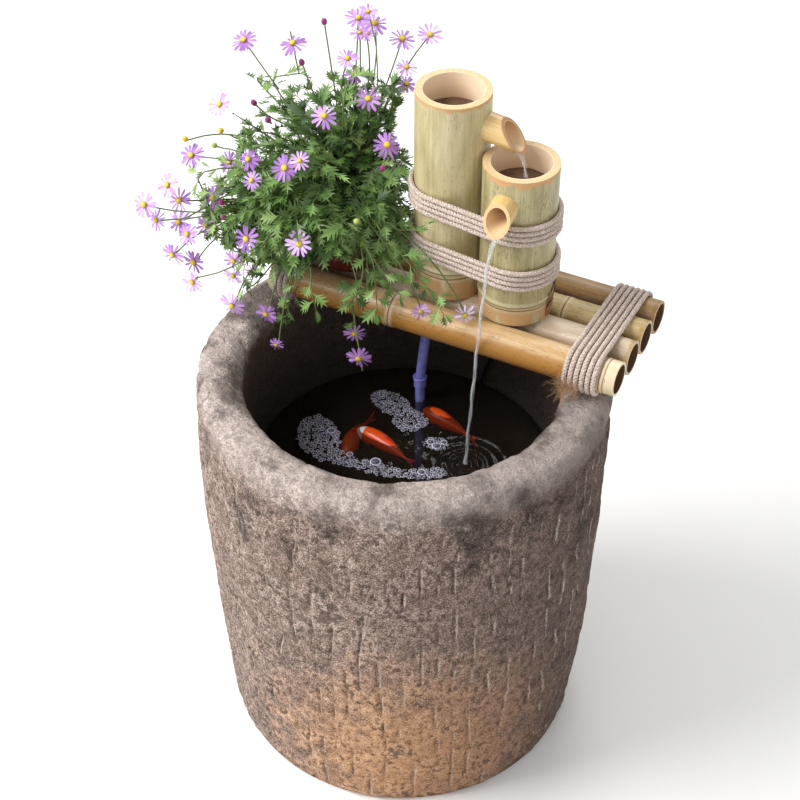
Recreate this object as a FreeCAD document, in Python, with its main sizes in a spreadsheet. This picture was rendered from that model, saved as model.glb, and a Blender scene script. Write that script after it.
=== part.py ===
import FreeCAD, Part
import math
import os

import Sketcher

# A bamboo spout fountain on a stone basin, in millimetres. The origin is the middle of the
# basin's foot on the ground, +X runs along the raft to its lashed right end, +Y goes away from
# the viewer and +Z is up.

SIZES = (
    # Stone basin
    ("basin_height", 497.0),
    ("basin_foot_radius", 209.0),
    ("basin_rim_radius", 227.0),
    ("basin_side_curve", 3640.0),
    ("basin_bore_radius", 172.0),
    ("basin_bore_taper", 12.0),
    ("basin_floor_thickness", 60.0),
    ("foot_round", 10.0),
    ("rim_outer_round_share", 4.0 / 11.0),
    ("rim_inner_round_share", 0.4),
    ("floor_round", 25.0),
    # Raft of four canes
    ("cane_radius", 19.0),
    ("cane_wall", 3.2),
    ("cane_gap", 0.8),
    ("cane_node_ridge", 0.6),
    ("cane_node_wall", 4.0),
    ("raft_right_end", 228.0),
    ("raft_front_axis", 48.0),
    ("front_cane_length", 411.0),
    ("second_cane_length", 420.0),
    ("third_cane_length", 415.0),
    ("back_cane_length", 422.0),
    ("branch_hole_radius", 2.5),
    # Rope
    ("rope_radius", 3.0),
    ("rope_strand_gap", 0.5),
    ("rope_seat", 0.3),
    ("right_lashing_start", 170.0),
    ("right_lashing_turns", 6),
    ("left_lashing_start", -178.0),
    ("left_lashing_turns", 3),
    ("upper_binding_height", 106.0),
    ("lower_binding_height", 49.0),
    ("binding_turns", 4),
    # Upright culms
    ("culm_radius", 40.0),
    ("culm_wall", 8.0),
    ("culm_gap", 2.5),
    ("culm_seat", 0.2),
    ("tall_culm_x", 5.0),
    ("tall_culm_y", 104.0),
    ("tall_culm_height", 239.5),
    ("short_culm_height", 181.5),
    ("short_culm_bearing", -6.3),
    ("tall_node_height", 34.0),
    ("short_node_height", 24.0),
    ("culm_node_ridge", 1.5),
    ("culm_node_half_height", 5.0),
    ("culm_floor_half_thickness", 3.0),
    # Spouts
    ("spout_wall", 3.2),
    ("spout_fit", 0.15),
    ("spout_root_inside", 3.0),
    ("tall_spout_radius", 15.5),
    ("tall_spout_height", 205.0),
    ("tall_spout_bearing", 2.0),
    ("tall_spout_fall", 8.0),
    ("tall_spout_reach", 28.0),
    ("tall_spout_mouth_slant", 44.0),
    ("short_spout_radius", 14.7),
    ("short_spout_height", 148.5),
    ("short_spout_bearing", -91.0),
    ("short_spout_fall", 18.0),
    ("short_spout_reach", 19.0),
    ("short_spout_mouth_slant", 38.0),
    # Riser pipe
    ("riser_radius", 5.75),
    ("riser_wall", 1.2),
    ("riser_x", -31.5),
    ("riser_socket_height", 385.0),
    ("riser_joint_height", 382.0),
    ("riser_socket_length", 14.0),
    ("riser_socket_wall", 1.0),
    ("riser_play", 0.6),
    ("riser_lean", 17.5),
    ("riser_lean_height", 175.0),
    ("riser_top_height", 590.0),
    ("grommet_wall", 2.5),
    ("grommet_length", 12.0),
    # Screws under the culms
    ("screw_radius", 2.0),
    ("screw_head_radius", 4.0),
    ("screw_head_height", 2.6),
    ("screw_bite", 22.0),
    ("screw_play", 0.15),
    # Pump
    ("pump_width", 36.0),
    ("pump_height", 40.0),
    ("pump_clearance", 6.0),
    ("motor_length", 28.0),
    ("motor_wall", 2.4),
    ("motor_cap_thickness", 3.0),
    ("volute_length", 12.0),
    ("volute_front_wall", 3.0),
    ("impeller_radius", 11.0),
    ("impeller_play", 1.5),
    ("impeller_blade_count", 6),
    ("magnet_radius", 6.5),
    ("magnet_length", 19.0),
    ("magnet_play", 0.8),
    ("well_wall", 1.2),
    ("pump_shaft_radius", 1.25),
    ("shaft_play", 0.08),
    ("bush_radius", 2.6),
    ("bush_length", 3.0),
    ("coil_pack_wall", 4.0),
    ("intake_length", 16.0),
    ("intake_wall", 1.6),
    ("intake_slot_count", 5),
    ("intake_slot_width", 2.0),
    ("dial_radius", 7.0),
    ("dial_thickness", 2.5),
    ("nozzle_length", 18.0),
    ("nozzle_bore_radius", 2.8),
    ("nozzle_fit", 0.25),
    ("cup_radius", 6.5),
    ("gland_length", 20.0),
    ("gland_radius", 4.6),
    # Cord
    ("cord_radius", 2.25),
    ("coil_x", 1.5),
    ("coil_y", 267.5),
    ("coil_turns", 5),
    ("coil_middle_radius", 24.75),
    ("coil_step", 5.0),
    ("cord_lift", 1.2),
    ("tie_width", 5.0),
    ("tie_thickness", 0.9),
    ("plug_length", 34.0),
    ("plug_width", 24.0),
    ("plug_neck_width", 13.0),
    ("plug_relief_length", 18.0),
    ("plug_pin_length", 16.0),
    ("plug_pin_radius", 2.0),
    ("plug_pin_spacing", 19.0),
    # Potted plant
    ("pot_x", -116.0),
    ("pot_y", 98.0),
    ("pot_height", 92.0),
    ("pot_foot_radius", 38.0),
    ("pot_top_radius", 56.0),
    ("pot_wall", 2.0),
    ("pot_lip", 2.5),
    ("pot_lip_height", 6.0),
    ("pot_drain_radius", 4.0),
    ("soil_below_rim", 9.0),
    ("crown_radius", 95.0),
    ("crown_foot_radius", 22.0),
    ("stem_radius", 0.9),
    ("daisy_rays", 13),
    ("daisy_ray_width", 3.4),
    ("daisy_thickness", 1.4),
    ("daisy_disc_share", 0.28),
    ("bud_radius", 4.2),
)

GAP = 0.3  # running clearance between pieces on different bodies


class Measure:
    """A length, angle or count: its number, and the sheet expression that keeps it."""

    def __init__(self, number, text):
        self.number = float(number)
        self.text = text

    def join(self, other, sign, number):
        """The measure that an operation between two measures gives."""
        return Measure(number, "(" + self.text + " " + sign + " " + measure(other).text + ")")

    def __add__(self, other):
        return self.join(other, "+", self.number + measure(other).number)

    def __radd__(self, other):
        return measure(other) + self

    def __sub__(self, other):
        return self.join(other, "-", self.number - measure(other).number)

    def __rsub__(self, other):
        return measure(other) - self

    def __mul__(self, other):
        return self.join(other, "*", self.number * measure(other).number)

    def __rmul__(self, other):
        return measure(other) * self

    def __truediv__(self, other):
        return self.join(other, "/", self.number / measure(other).number)

    def __neg__(self):
        return measure(0.0) - self


def measure(value):
    """The value itself if it is a measure already, or a plain number made one."""
    return value if isinstance(value, Measure) else Measure(value, repr(float(value)))


def sine(angle):
    return Measure(math.sin(math.radians(angle.number)), "sin(" + angle.text + ")")


def cosine(angle):
    return Measure(math.cos(math.radians(angle.number)), "cos(" + angle.text + ")")


def root(value):
    return Measure(math.sqrt(value.number), "sqrt(" + value.text + ")")


# The document and its sheet of driving sizes
doc = FreeCAD.newDocument("SpoutFountain")
sheet = doc.addObject("Spreadsheet::Sheet", "Sizes")
size = {}
for row, (alias, number) in enumerate(SIZES, start=1):
    sheet.set("A" + str(row), alias.replace("_", " "))
    sheet.set("B" + str(row), repr(float(number)))
    sheet.setAlias("B" + str(row), alias)
    size[alias] = Measure(number, "Sizes." + alias)
doc.recompute()

sub_parts = []
ZERO = measure(0.0)
X_AXIS = FreeCAD.Vector(1, 0, 0)
Y_AXIS = FreeCAD.Vector(0, 1, 0)
Z_AXIS = FreeCAD.Vector(0, 0, 1)
UPRIGHT = FreeCAD.Rotation()
ALONG_X = FreeCAD.Rotation(Z_AXIS, X_AXIS)


def vector(point):
    """A FreeCAD vector from three measures or numbers."""
    return FreeCAD.Vector(*(measure(value).number for value in point))


def bind(thing, **properties):
    """Set each property to its measure, and tie it to the sheet."""
    for name, value in properties.items():
        value = measure(value)
        setattr(thing, name, value.number)
        thing.setExpression(name, value.text)


def place(thing, at, rotation=UPRIGHT):
    """Put a feature where it belongs, with its place tied to the sheet."""
    thing.Placement = FreeCAD.Placement(vector(at), rotation)
    for axis, value in zip("xyz", at):
        thing.setExpression("Placement.Base." + axis, measure(value).text)
    return thing


def solid(kind, name, at=(0, 0, 0), rotation=UPRIGHT, **properties):
    """A Part primitive with its sizes and its place tied to the sheet."""
    thing = doc.addObject("Part::" + kind, name)
    bind(thing, **properties)
    return place(thing, at, rotation)


def rod(name, radius, length, at=(0, 0, 0), rotation=UPRIGHT):
    """A plain cylinder."""
    return solid("Cylinder", name, at, rotation, Radius=radius, Height=length)


def block(name, length, width, height, at=(0, 0, 0), rotation=UPRIGHT):
    """A plain box from its lowest corner."""
    return solid("Box", name, at, rotation, Length=length, Width=width, Height=height)


def fuse(name, things):
    """One feature that joins several."""
    joined = doc.addObject("Part::MultiFuse", name)
    joined.Shapes = list(things)
    return joined


def cut(name, base, tools):
    """A feature with the tools taken away from it."""
    tools = list(tools)
    cutter = tools[0] if len(tools) == 1 else fuse(name + "Tools", tools)
    result = doc.addObject("Part::Cut", name)
    result.Base = base
    result.Tool = cutter
    return result


def compound(name, things):
    """Several separate solids kept under one name."""
    group = doc.addObject("Part::Compound", name)
    group.Links = list(things)
    return group


def shaped(name, shape):
    """A feature whose shape is worked out here from the sheet's sizes."""
    thing = doc.addObject("Part::Feature", name)
    thing.Shape = shape
    return thing


def sub_part(thing, label):
    """Name a finished sub-part, list it for writing, and return it."""
    thing.Label = label
    sub_parts.append(thing)
    return thing


def body_plane(body, role):
    """One of a body's own origin planes."""
    return next(item for item in body.Origin.OriginFeatures if item.Role == role)


def outline(body, name, corners, role="XZ_Plane", curves=None):
    """A closed sketch whose corners are tied to the sheet.

    Its sides are straight, but curves gives the radius of each side that swells outwards.
    """
    sketch = body.newObject("Sketcher::SketchObject", name)
    sketch.AttachmentSupport = (body_plane(body, role), [""])
    sketch.MapMode = "FlatFace"
    points = [vector((across, up, 0)) for across, up in corners]
    count = len(points)
    curves = curves or {}
    for index in range(count):
        start, end = points[index], points[(index + 1) % count]
        side = Part.LineSegment(start, end)
        if index in curves:
            half = (end - start) * 0.5
            radius = curves[index].number
            swell = radius - math.sqrt(radius * radius - half.dot(half))
            out = half.cross(Z_AXIS).normalize() * swell
            side = Part.Arc(start, start + half + out, end)
        sketch.addGeometry(side, False)
    for index in range(count):
        follower = (index + 1) % count
        sketch.addConstraint(Sketcher.Constraint("Coincident", index, 2, follower, 1))
    for index, radius in curves.items():
        tie = sketch.addConstraint(Sketcher.Constraint("Radius", index, radius.number))
        tie_name = "curve" + str(index)
        sketch.renameConstraint(tie, tie_name)
        sketch.setExpression("Constraints." + tie_name, radius.text)
    for index, corner in enumerate(corners):
        for kind, value in zip(("DistanceX", "DistanceY"), corner):
            value = measure(value)
            tie = sketch.addConstraint(
                Sketcher.Constraint(kind, -1, 1, index, 1, value.number))
            tie_name = kind.lower() + str(index)
            sketch.renameConstraint(tie, tie_name)
            sketch.setExpression("Constraints." + tie_name, value.text)
    return sketch


def turned_body(name, corners, axis="V_Axis", curves=None):
    """A body made by turning an outline all the way round."""
    body = doc.addObject("PartDesign::Body", name)
    sketch = outline(body, name + "Outline", corners, curves=curves)
    turn = body.newObject("PartDesign::Revolution", name + "Turn")
    turn.Profile = sketch
    turn.ReferenceAxis = (sketch, [axis])
    turn.Angle = 360
    doc.recompute()
    return body


def round_edges(body, name, radius, chosen):
    """Fillet the edges of a body's tip that the test picks."""
    base = body.Tip
    edges = ["Edge" + str(number) for number, edge in enumerate(base.Shape.Edges, start=1)
             if chosen(edge)]
    fillet = body.newObject("PartDesign::Fillet", name)
    fillet.Base = (base, edges)
    bind(fillet, Radius=radius)
    doc.recompute()


def circle_at(radius, height):
    """A test for a level round edge of that radius at that height."""
    radius = measure(radius).number
    height = measure(height).number

    def chosen(edge):
        curve = edge.Curve
        return (isinstance(curve, Part.Circle) and abs(curve.Radius - radius) < 0.01
                and abs(curve.Center.z - height) < 0.01)

    return chosen


# Stone basin, whose rim's rounds each take a share of its wall
floor_radius = size["basin_bore_radius"] - size["basin_bore_taper"]
rim_wall = size["basin_rim_radius"] - size["basin_bore_radius"]
basin = turned_body("StoneBasin", (
    (ZERO, ZERO),
    (size["basin_foot_radius"], ZERO),
    (size["basin_rim_radius"], size["basin_height"]),
    (size["basin_bore_radius"], size["basin_height"]),
    (floor_radius, size["basin_floor_thickness"]),
    (ZERO, size["basin_floor_thickness"]),
), curves={1: size["basin_side_curve"]})
round_edges(basin, "FootRound", size["foot_round"],
            circle_at(size["basin_foot_radius"], ZERO))
round_edges(basin, "RimOuterRound", rim_wall * size["rim_outer_round_share"],
            circle_at(size["basin_rim_radius"], size["basin_height"]))
round_edges(basin, "RimInnerRound", rim_wall * size["rim_inner_round_share"],
            circle_at(size["basin_bore_radius"], size["basin_height"]))
round_edges(basin, "FloorRound", size["floor_round"],
            circle_at(floor_radius, size["basin_floor_thickness"]))
sub_part(basin, "stone_basin")

# Raft: where its canes, its crest and its underside lie
cane_pitch = size["cane_radius"] * 2 + size["cane_gap"]
rope_stack = size["rope_seat"] + size["rope_radius"] * 2
cane_axis_height = size["basin_height"] + GAP + rope_stack + size["cane_radius"]
raft_top = cane_axis_height + size["cane_radius"]
cane_axes = [size["raft_front_axis"] + cane_pitch * place_in_row for place_in_row in range(4)]

# Upright culms: where they stand
culm_foot = raft_top + size["culm_seat"]
culm_bore = size["culm_radius"] - size["culm_wall"]
culm_spacing = size["culm_radius"] * 2 + size["culm_gap"]
short_culm_x = size["tall_culm_x"] + culm_spacing * cosine(size["short_culm_bearing"])
short_culm_y = size["tall_culm_y"] + culm_spacing * sine(size["short_culm_bearing"])
tall_centre = (size["tall_culm_x"], size["tall_culm_y"])
short_centre = (short_culm_x, short_culm_y)

# Riser: its leaning upper length passes between the second and third canes
riser_y = (cane_axes[1] + cane_axes[2]) / 2
riser_lean_way = vector((size["riser_lean"], 0, size["riser_lean_height"])).normalize()
LEANING = FreeCAD.Rotation(Z_AXIS, riser_lean_way)
riser_slope_length = root(size["riser_lean"] * size["riser_lean"]
                          + size["riser_lean_height"] * size["riser_lean_height"])
riser_stretch = riser_slope_length / size["riser_lean_height"]


def leaning_rod(name, radius, start_height, length):
    """A cylinder on the leaning riser's axis, from the height given."""
    along = (measure(start_height) - size["riser_joint_height"]) / size["riser_lean_height"]
    at = (size["riser_x"] + along * size["riser_lean"], riser_y, start_height)
    return rod(name, radius, length, at, LEANING)


# Screws: one from each middle cane up into the wall of each culm
wall_middle = size["culm_radius"] - size["culm_wall"] / 2


def screw_place(centre, cane, side):
    """Where a screw on a cane's crest meets the middle of a culm's wall."""
    across = cane_axes[cane] - centre[1]
    along = root(wall_middle * wall_middle - across * across)
    return (centre[0] + along * side, cane_axes[cane])


screw_places = (
    screw_place(tall_centre, 1, 1),
    screw_place(tall_centre, 2, -1),
    screw_place(short_centre, 1, 1),
    screw_place(short_centre, 2, -1),
)
screw_foot = cane_axis_height - size["cane_radius"] + size["screw_play"] * 2
screw_length = culm_foot + size["screw_bite"] - screw_foot
screws = []
for number, (screw_x, screw_y) in enumerate(screw_places, start=1):
    name = "Screw" + str(number)
    shank = rod(name + "Shank", size["screw_radius"], screw_length,
                (screw_x, screw_y, screw_foot))
    head = solid("Cone", name + "Head", (screw_x, screw_y, screw_foot),
                 Radius1=size["screw_head_radius"], Radius2=size["screw_radius"],
                 Height=size["screw_head_height"])
    screws.append(fuse(name, (shank, head)))


def screw_hole(name, number, radius, start_height, length):
    """A hole on the axis of one of the screws."""
    screw_x, screw_y = screw_places[number]
    return rod(name, radius, length, (screw_x, screw_y, start_height))


def screw_sink(name, number):
    """The countersink that a screw's head lies in, open to below."""
    screw_x, screw_y = screw_places[number]
    return solid("Cone", name, (screw_x, screw_y, screw_foot - size["screw_play"] * 4),
                 Radius1=size["screw_head_radius"] + size["screw_play"] * 4,
                 Radius2=size["screw_radius"] + size["screw_play"],
                 Height=size["screw_head_height"] + size["screw_play"] * 5)


# Four canes, each hollow and closed inside at its nodes
def cane_body(name, length, nodes_from_right):
    """A cane along X with its middle on the axis and its right end at zero."""
    outer = size["cane_radius"]
    bore = outer - size["cane_wall"]
    half = size["cane_node_wall"] / 2
    swell = size["cane_node_wall"] * 1.5
    over = [(-length, outer)]
    under = [(ZERO, bore)]
    for distance in sorted(nodes_from_right, reverse=True):
        over += [(-measure(distance) - swell, outer),
                 (-measure(distance), outer + size["cane_node_ridge"]),
                 (-measure(distance) + swell, outer)]
    for distance in sorted(nodes_from_right):
        under += [(-measure(distance) + half, bore), (-measure(distance) + half, ZERO),
                  (-measure(distance) - half, ZERO), (-measure(distance) - half, bore)]
    corners = over + [(ZERO, outer)] + under + [(-length, bore)]
    return turned_body(name, corners, "H_Axis")


canes = (
    ("raft_cane_front", "FrontCane", size["front_cane_length"], (16.0, 262.0)),
    ("raft_cane_second", "SecondCane", size["second_cane_length"], (150.0, 300.0)),
    ("raft_cane_third", "ThirdCane", size["third_cane_length"], (92.0, 290.0)),
    ("raft_cane_back", "BackCane", size["back_cane_length"], (196.0, 366.0)),
)
cane_bottom = cane_axis_height - size["cane_radius"]
for row_place, (label, name, length, nodes) in enumerate(canes):
    cane = cane_body(name, length, nodes)
    place(cane, (size["raft_right_end"], cane_axes[row_place], cane_axis_height))
    cutters = []
    if row_place == 0:
        branch_x = size["raft_right_end"] - 12.0
        cutters.append(rod(name + "BranchHole", size["branch_hole_radius"], size["cane_radius"],
                           (branch_x, cane_axes[0], cane_axis_height),
                           FreeCAD.Rotation(Z_AXIS, FreeCAD.Vector(0, -1, 0.4))))
    if row_place in (1, 2):
        cutters.append(leaning_rod(name + "RiserNotch",
                                   size["riser_radius"] + size["riser_play"],
                                   cane_bottom - 5, cane_pitch + 10))
        for number in (row_place - 1, row_place + 1):
            hole = name + "ScrewHole" + str(number)
            cutters.append(screw_hole(hole, number, size["screw_radius"] + size["screw_play"],
                                      cane_bottom - 5, cane_pitch + 10))
            cutters.append(screw_sink(hole + "Sink", number))
    if cutters:
        cane = cut(name + "Drilled", cane, cutters)
    sub_part(cane, label)


# Upright culms with their spouts
def culm_body(name, height, node_height):
    """An upright culm, open at the top and closed by a floor at its lowest node."""
    outer = size["culm_radius"]
    ridge = size["culm_node_half_height"]
    half = size["culm_floor_half_thickness"]
    return turned_body(name, (
        (culm_bore, ZERO),
        (outer, ZERO),
        (outer, node_height - ridge),
        (outer + size["culm_node_ridge"], node_height),
        (outer, node_height + ridge),
        (outer, height),
        (culm_bore, height),
        (culm_bore, node_height + half),
        (ZERO, node_height + half),
        (ZERO, node_height - half),
        (culm_bore, node_height - half),
    ))


def spout_parts(name, centre, radius, height, bearing, fall, reach, slant):
    """A spout with a slanted mouth, and the cutter for its hole in the culm."""
    aim = FreeCAD.Rotation(Z_AXIS, bearing.number).multiply(
        FreeCAD.Rotation(Y_AXIS, 90.0 + fall.number))
    inside = size["culm_wall"] + size["spout_root_inside"]
    root_radius = size["culm_radius"] - inside
    root_at = (centre[0] + root_radius * cosine(bearing),
               centre[1] + root_radius * sine(bearing),
               culm_foot + height + inside * sine(fall))
    reach_from_root = reach + inside
    tip = radius * 2
    outer = rod(name + "Outside", radius, reach_from_root + tip)
    bore = rod(name + "Bore", radius - size["spout_wall"], reach_from_root + tip * 2,
               (0, 0, -radius))
    # The mouth's plane leans so that the lower lip reaches further than the upper one
    lean = FreeCAD.Rotation(Y_AXIS, -slant.number)
    corner = lean.multVec(vector((-tip * 2, -tip * 2, 0)))
    waste = doc.addObject("Part::Box", name + "MouthWaste")
    bind(waste, Length=tip * 4, Width=tip * 4, Height=tip * 4)
    waste.Placement = FreeCAD.Placement(
        corner + vector((0, 0, reach_from_root)), lean)
    spout = cut(name, outer, (bore, waste))
    place(spout, root_at, aim)
    hole = rod(name + "Hole", radius + size["spout_fit"], reach_from_root, root_at, aim)
    return spout, hole


tall_spout, tall_spout_hole = spout_parts(
    "TallSpout", tall_centre, size["tall_spout_radius"], size["tall_spout_height"],
    size["tall_spout_bearing"], size["tall_spout_fall"], size["tall_spout_reach"],
    size["tall_spout_mouth_slant"])
short_spout, short_spout_hole = spout_parts(
    "ShortSpout", short_centre, size["short_spout_radius"], size["short_spout_height"],
    size["short_spout_bearing"], size["short_spout_fall"], size["short_spout_reach"],
    size["short_spout_mouth_slant"])


def finished_culm(label, name, centre, height, node_height, screws, other_cutters):
    """Stand a culm on the raft, with its holes cut."""
    culm = culm_body(name, height, node_height)
    place(culm, (centre[0], centre[1], culm_foot))
    cutters = list(other_cutters)
    for number in screws:
        cutters.append(screw_hole(name + "Pilot" + str(number), number,
                                  size["screw_radius"] + size["screw_play"],
                                  culm_foot - 5, size["screw_bite"] + 12))
    sub_part(cut(name + "Drilled", culm, cutters), label)


riser_hole = leaning_rod("RiserHole", size["riser_radius"] + size["grommet_wall"],
                         culm_foot + size["tall_node_height"] - 15, measure(30.0))
finished_culm("tall_culm", "TallCulm", tall_centre, size["tall_culm_height"],
              size["tall_node_height"], (0, 1), (tall_spout_hole, riser_hole))
finished_culm("short_culm", "ShortCulm", short_centre, size["short_culm_height"],
              size["short_node_height"], (2, 3), (short_spout_hole,))
sub_part(tall_spout, "tall_spout")
sub_part(short_spout, "short_spout")
sub_part(compound("CulmScrews", screws), "culm_screws")


# Rope windings
def arc_through(start, corner, end):
    """The arc that leaves start and reaches end, tangent to the lines to their corner."""
    middle = (start + end) * 0.5
    half_cosine = (end - start).Length / 2 / (corner - start).Length
    on_arc = corner + (middle - corner) * (1 / (1 + half_cosine))
    return Part.Arc(start, on_arc, end).toShape()


def biarc(start, start_way, end, end_way):
    """Two arcs that join two points along the directions given."""
    span = end - start
    ways = start_way + end_way
    square = 2 * start_way.dot(end_way) - 2
    linear = -2 * span.dot(ways)
    constant = span.dot(span)
    reach = (-linear - math.sqrt(linear * linear - 4 * square * constant)) / (2 * square)
    first = start + start_way * reach
    last = end - end_way * reach
    meeting = (first + last) * 0.5
    return [arc_through(start, first, meeting), arc_through(meeting, last, end)]


def winding(name, first_centre, second_centre, climb_way, radius, turns, start):
    """One unbroken rope wound round two parallel rods, climbing evenly."""
    rope = size["rope_radius"].number
    step = 2 * rope + size["rope_strand_gap"].number
    turns = int(turns.number)
    run = second_centre - first_centre
    along = FreeCAD.Vector(run).normalize()
    across = climb_way.cross(along)
    loop_length = 2 * run.Length + 2 * math.pi * radius
    slope = step / loop_length
    middle = first_centre + run * 0.5
    stations = (
        (middle + across * radius, along, run.Length / 2),
        (second_centre + across * radius, along, math.pi * radius / 2),
        (second_centre + along * radius, -across, math.pi * radius / 2),
        (second_centre - across * radius, -along, run.Length),
        (first_centre - across * radius, -along, math.pi * radius / 2),
        (first_centre - along * radius, across, math.pi * radius / 2),
        (first_centre + across * radius, along, run.Length / 2),
    )
    edges = []
    climbed = start
    for index in range(turns * len(stations)):
        point, way, length = stations[index % len(stations)]
        follower, next_way = stations[(index + 1) % len(stations)][:2]
        here = point + climb_way * climbed
        climbed += length * slope
        there = follower + climb_way * climbed
        if (next_way - way).Length < 1e-9:
            edges.append(Part.LineSegment(here, there).toShape())
        else:
            rising = (way + climb_way * slope).normalize()
            next_rising = (next_way + climb_way * slope).normalize()
            edges += biarc(here, rising, there, next_rising)
    path = Part.Wire(edges)
    first_way = (stations[0][1] + climb_way * slope).normalize()
    section = Part.Wire(Part.Circle(edges[0].Vertexes[0].Point, first_way, rope).toShape())
    report_gap(name, path, 2 * rope, loop_length / 2)
    return shaped(name, path.makePipeShell([section], True, False))


def report_gap(name, path, thickness, apart):
    """Print the least gap of a wound tube to itself, measured on points of its middle line."""
    spacing = 2.0
    points = path.discretize(Distance=spacing)
    skip = max(1, int(apart / spacing))
    least = min((points[far] - points[near]).Length
                for near in range(0, len(points), 2)
                for far in range(near + skip, len(points)))
    print(name, "least gap to itself", round(least - thickness, 2), "mm, length",
          round(path.Length), "mm")


culm_winding_radius = (size["culm_radius"] + size["rope_seat"] + size["rope_radius"]).number
culm_axes = (vector((tall_centre[0], tall_centre[1], 0)),
             vector((short_centre[0], short_centre[1], 0)))
for label, height in (("upper_binding", "upper_binding_height"),
                      ("lower_binding", "lower_binding_height")):
    sub_part(winding(label.title().replace("_", ""), culm_axes[0], culm_axes[1], Z_AXIS,
                     culm_winding_radius, size["binding_turns"],
                     (culm_foot + size[height]).number), label)

raft_winding_radius = (size["cane_radius"] + size["rope_seat"] + size["rope_radius"]).number
raft_axes = (vector((0, cane_axes[3], cane_axis_height)),
             vector((0, cane_axes[0], cane_axis_height)))
for side in ("right", "left"):
    sub_part(winding("RaftLashing" + side.title(), raft_axes[0], raft_axes[1], X_AXIS,
                     raft_winding_radius, size[side + "_lashing_turns"],
                     (size[side + "_lashing_start"] + size["rope_radius"]).number),
             "raft_lashing_" + side)

# Pump: stands on the basin's floor, its rotor along X
pump_foot = size["basin_floor_thickness"] + size["pump_clearance"]
pump_axis = (riser_y, pump_foot + size["pump_height"] / 2)
pump_front = riser_y - size["pump_width"] / 2
volute_left = size["riser_x"] - size["volute_length"] / 2
motor_left = volute_left + size["volute_length"]
motor_right = motor_left + size["motor_length"]
pump_top = pump_foot + size["pump_height"]


def pump_rod(name, radius, start, length):
    """A cylinder on the rotor's axis."""
    return rod(name, radius, length, (start, pump_axis[0], pump_axis[1]), ALONG_X)


def pump_block(name, start, length, inset=0.0):
    """A box of the pump's section, drawn in by the inset all round."""
    inset = measure(inset)
    return block(name, length, size["pump_width"] - inset * 2, size["pump_height"] - inset * 2,
                 (start, pump_front + inset, pump_foot + inset))


well_radius = size["magnet_radius"] + size["magnet_play"]
well_length = size["magnet_length"] + size["bush_length"] + 1.0
motor_outside = pump_block("MotorOutside", motor_left, size["motor_length"])
motor_hollow = pump_block("MotorHollow", motor_left + size["motor_wall"], size["motor_length"],
                          size["motor_wall"])
well_wall = pump_rod("RotorWellWall", well_radius + size["well_wall"], motor_left,
                     well_length + size["well_wall"])
well_bore = pump_rod("RotorWellBore", well_radius, motor_left - 1.0, well_length + 1.0)
motor_shell = cut("MotorShell", motor_outside, (motor_hollow,))
sub_part(cut("MotorHousing", fuse("MotorShellAndWell", (motor_shell, well_wall)),
             (well_bore,)), "pump_motor_housing")

cap_face = pump_block("MotorCapFace", motor_right, size["motor_cap_thickness"])
cap_spigot = pump_block("MotorCapSpigot", motor_right - size["motor_cap_thickness"],
                        size["motor_cap_thickness"], size["motor_wall"] + 0.15)
gland_hole = pump_rod("GlandHole", size["gland_radius"],
                      motor_right - size["motor_cap_thickness"] - 1.0,
                      size["motor_cap_thickness"] * 2 + 2.0)
sub_part(cut("MotorCap", fuse("MotorCapSolid", (cap_face, cap_spigot)), (gland_hole,)),
         "pump_motor_cap")

# Stator: a laminated yoke round the well, and its winding on the yoke's far side
yoke_left = motor_left + size["motor_wall"] + 2.0
yoke_length = measure(12.0)
yoke = pump_block("YokeBlock", yoke_left, yoke_length, size["motor_wall"] + 1.0)
yoke_bore = pump_rod("YokeBore", well_radius + size["well_wall"] + 0.2, yoke_left - 1.0,
                     yoke_length + 2.0)
yoke_slot = block("YokeSlot", yoke_length + 2.0, well_radius * 2, size["pump_height"],
                  (yoke_left - 1.0, riser_y - well_radius, pump_axis[1]))
sub_part(cut("StatorYoke", yoke, (yoke_bore, yoke_slot)), "pump_stator_yoke")
coil_left = yoke_left + yoke_length + 0.3
coil_length = motor_right - size["motor_cap_thickness"] - coil_left - 1.0
coil_outer = pump_rod("StatorCoilOutside", well_radius + size["well_wall"] + 0.3
                      + size["coil_pack_wall"], coil_left, coil_length)
coil_inner = pump_rod("StatorCoilInside", well_radius + size["well_wall"] + 0.3,
                      coil_left - 1.0, coil_length + 2.0)
sub_part(cut("StatorCoil", coil_outer, (coil_inner,)), "pump_stator_coil")

# Volute with its nozzle, which the riser slips over
volute = pump_block("VoluteBlock", volute_left, size["volute_length"])
nozzle_radius = size["riser_radius"] - size["riser_wall"] - size["nozzle_fit"]
nozzle = rod("Nozzle", nozzle_radius, size["nozzle_length"] + 2.0,
             (size["riser_x"], riser_y, pump_top - 2.0))
chamber_radius = size["impeller_radius"] + size["impeller_play"]
chamber = pump_rod("VoluteChamber", chamber_radius, volute_left + size["volute_front_wall"],
                   size["volute_length"])
nozzle_bore = rod("NozzleBore", size["nozzle_bore_radius"], size["pump_height"],
                  (size["riser_x"], riser_y, pump_axis[1] + chamber_radius / 2))
bush_seat = pump_rod("FrontBushSeat", size["bush_radius"] + 0.05, volute_left - 1.0,
                     size["volute_front_wall"] + 2.0)
intake_ports = []
port_ring = (size["bush_radius"] + chamber_radius) / 2
for index in range(4):
    angle = measure(45.0 + 90.0 * index)
    intake_ports.append(rod("IntakePort" + str(index + 1), size["bush_radius"],
                            size["volute_front_wall"] + 2.0,
                            (volute_left - 1.0, pump_axis[0] + port_ring * cosine(angle),
                             pump_axis[1] + port_ring * sine(angle)), ALONG_X))
sub_part(cut("VoluteCover", fuse("VoluteAndNozzle", (volute, nozzle)),
             [chamber, nozzle_bore, bush_seat] + intake_ports), "pump_volute_cover")

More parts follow.
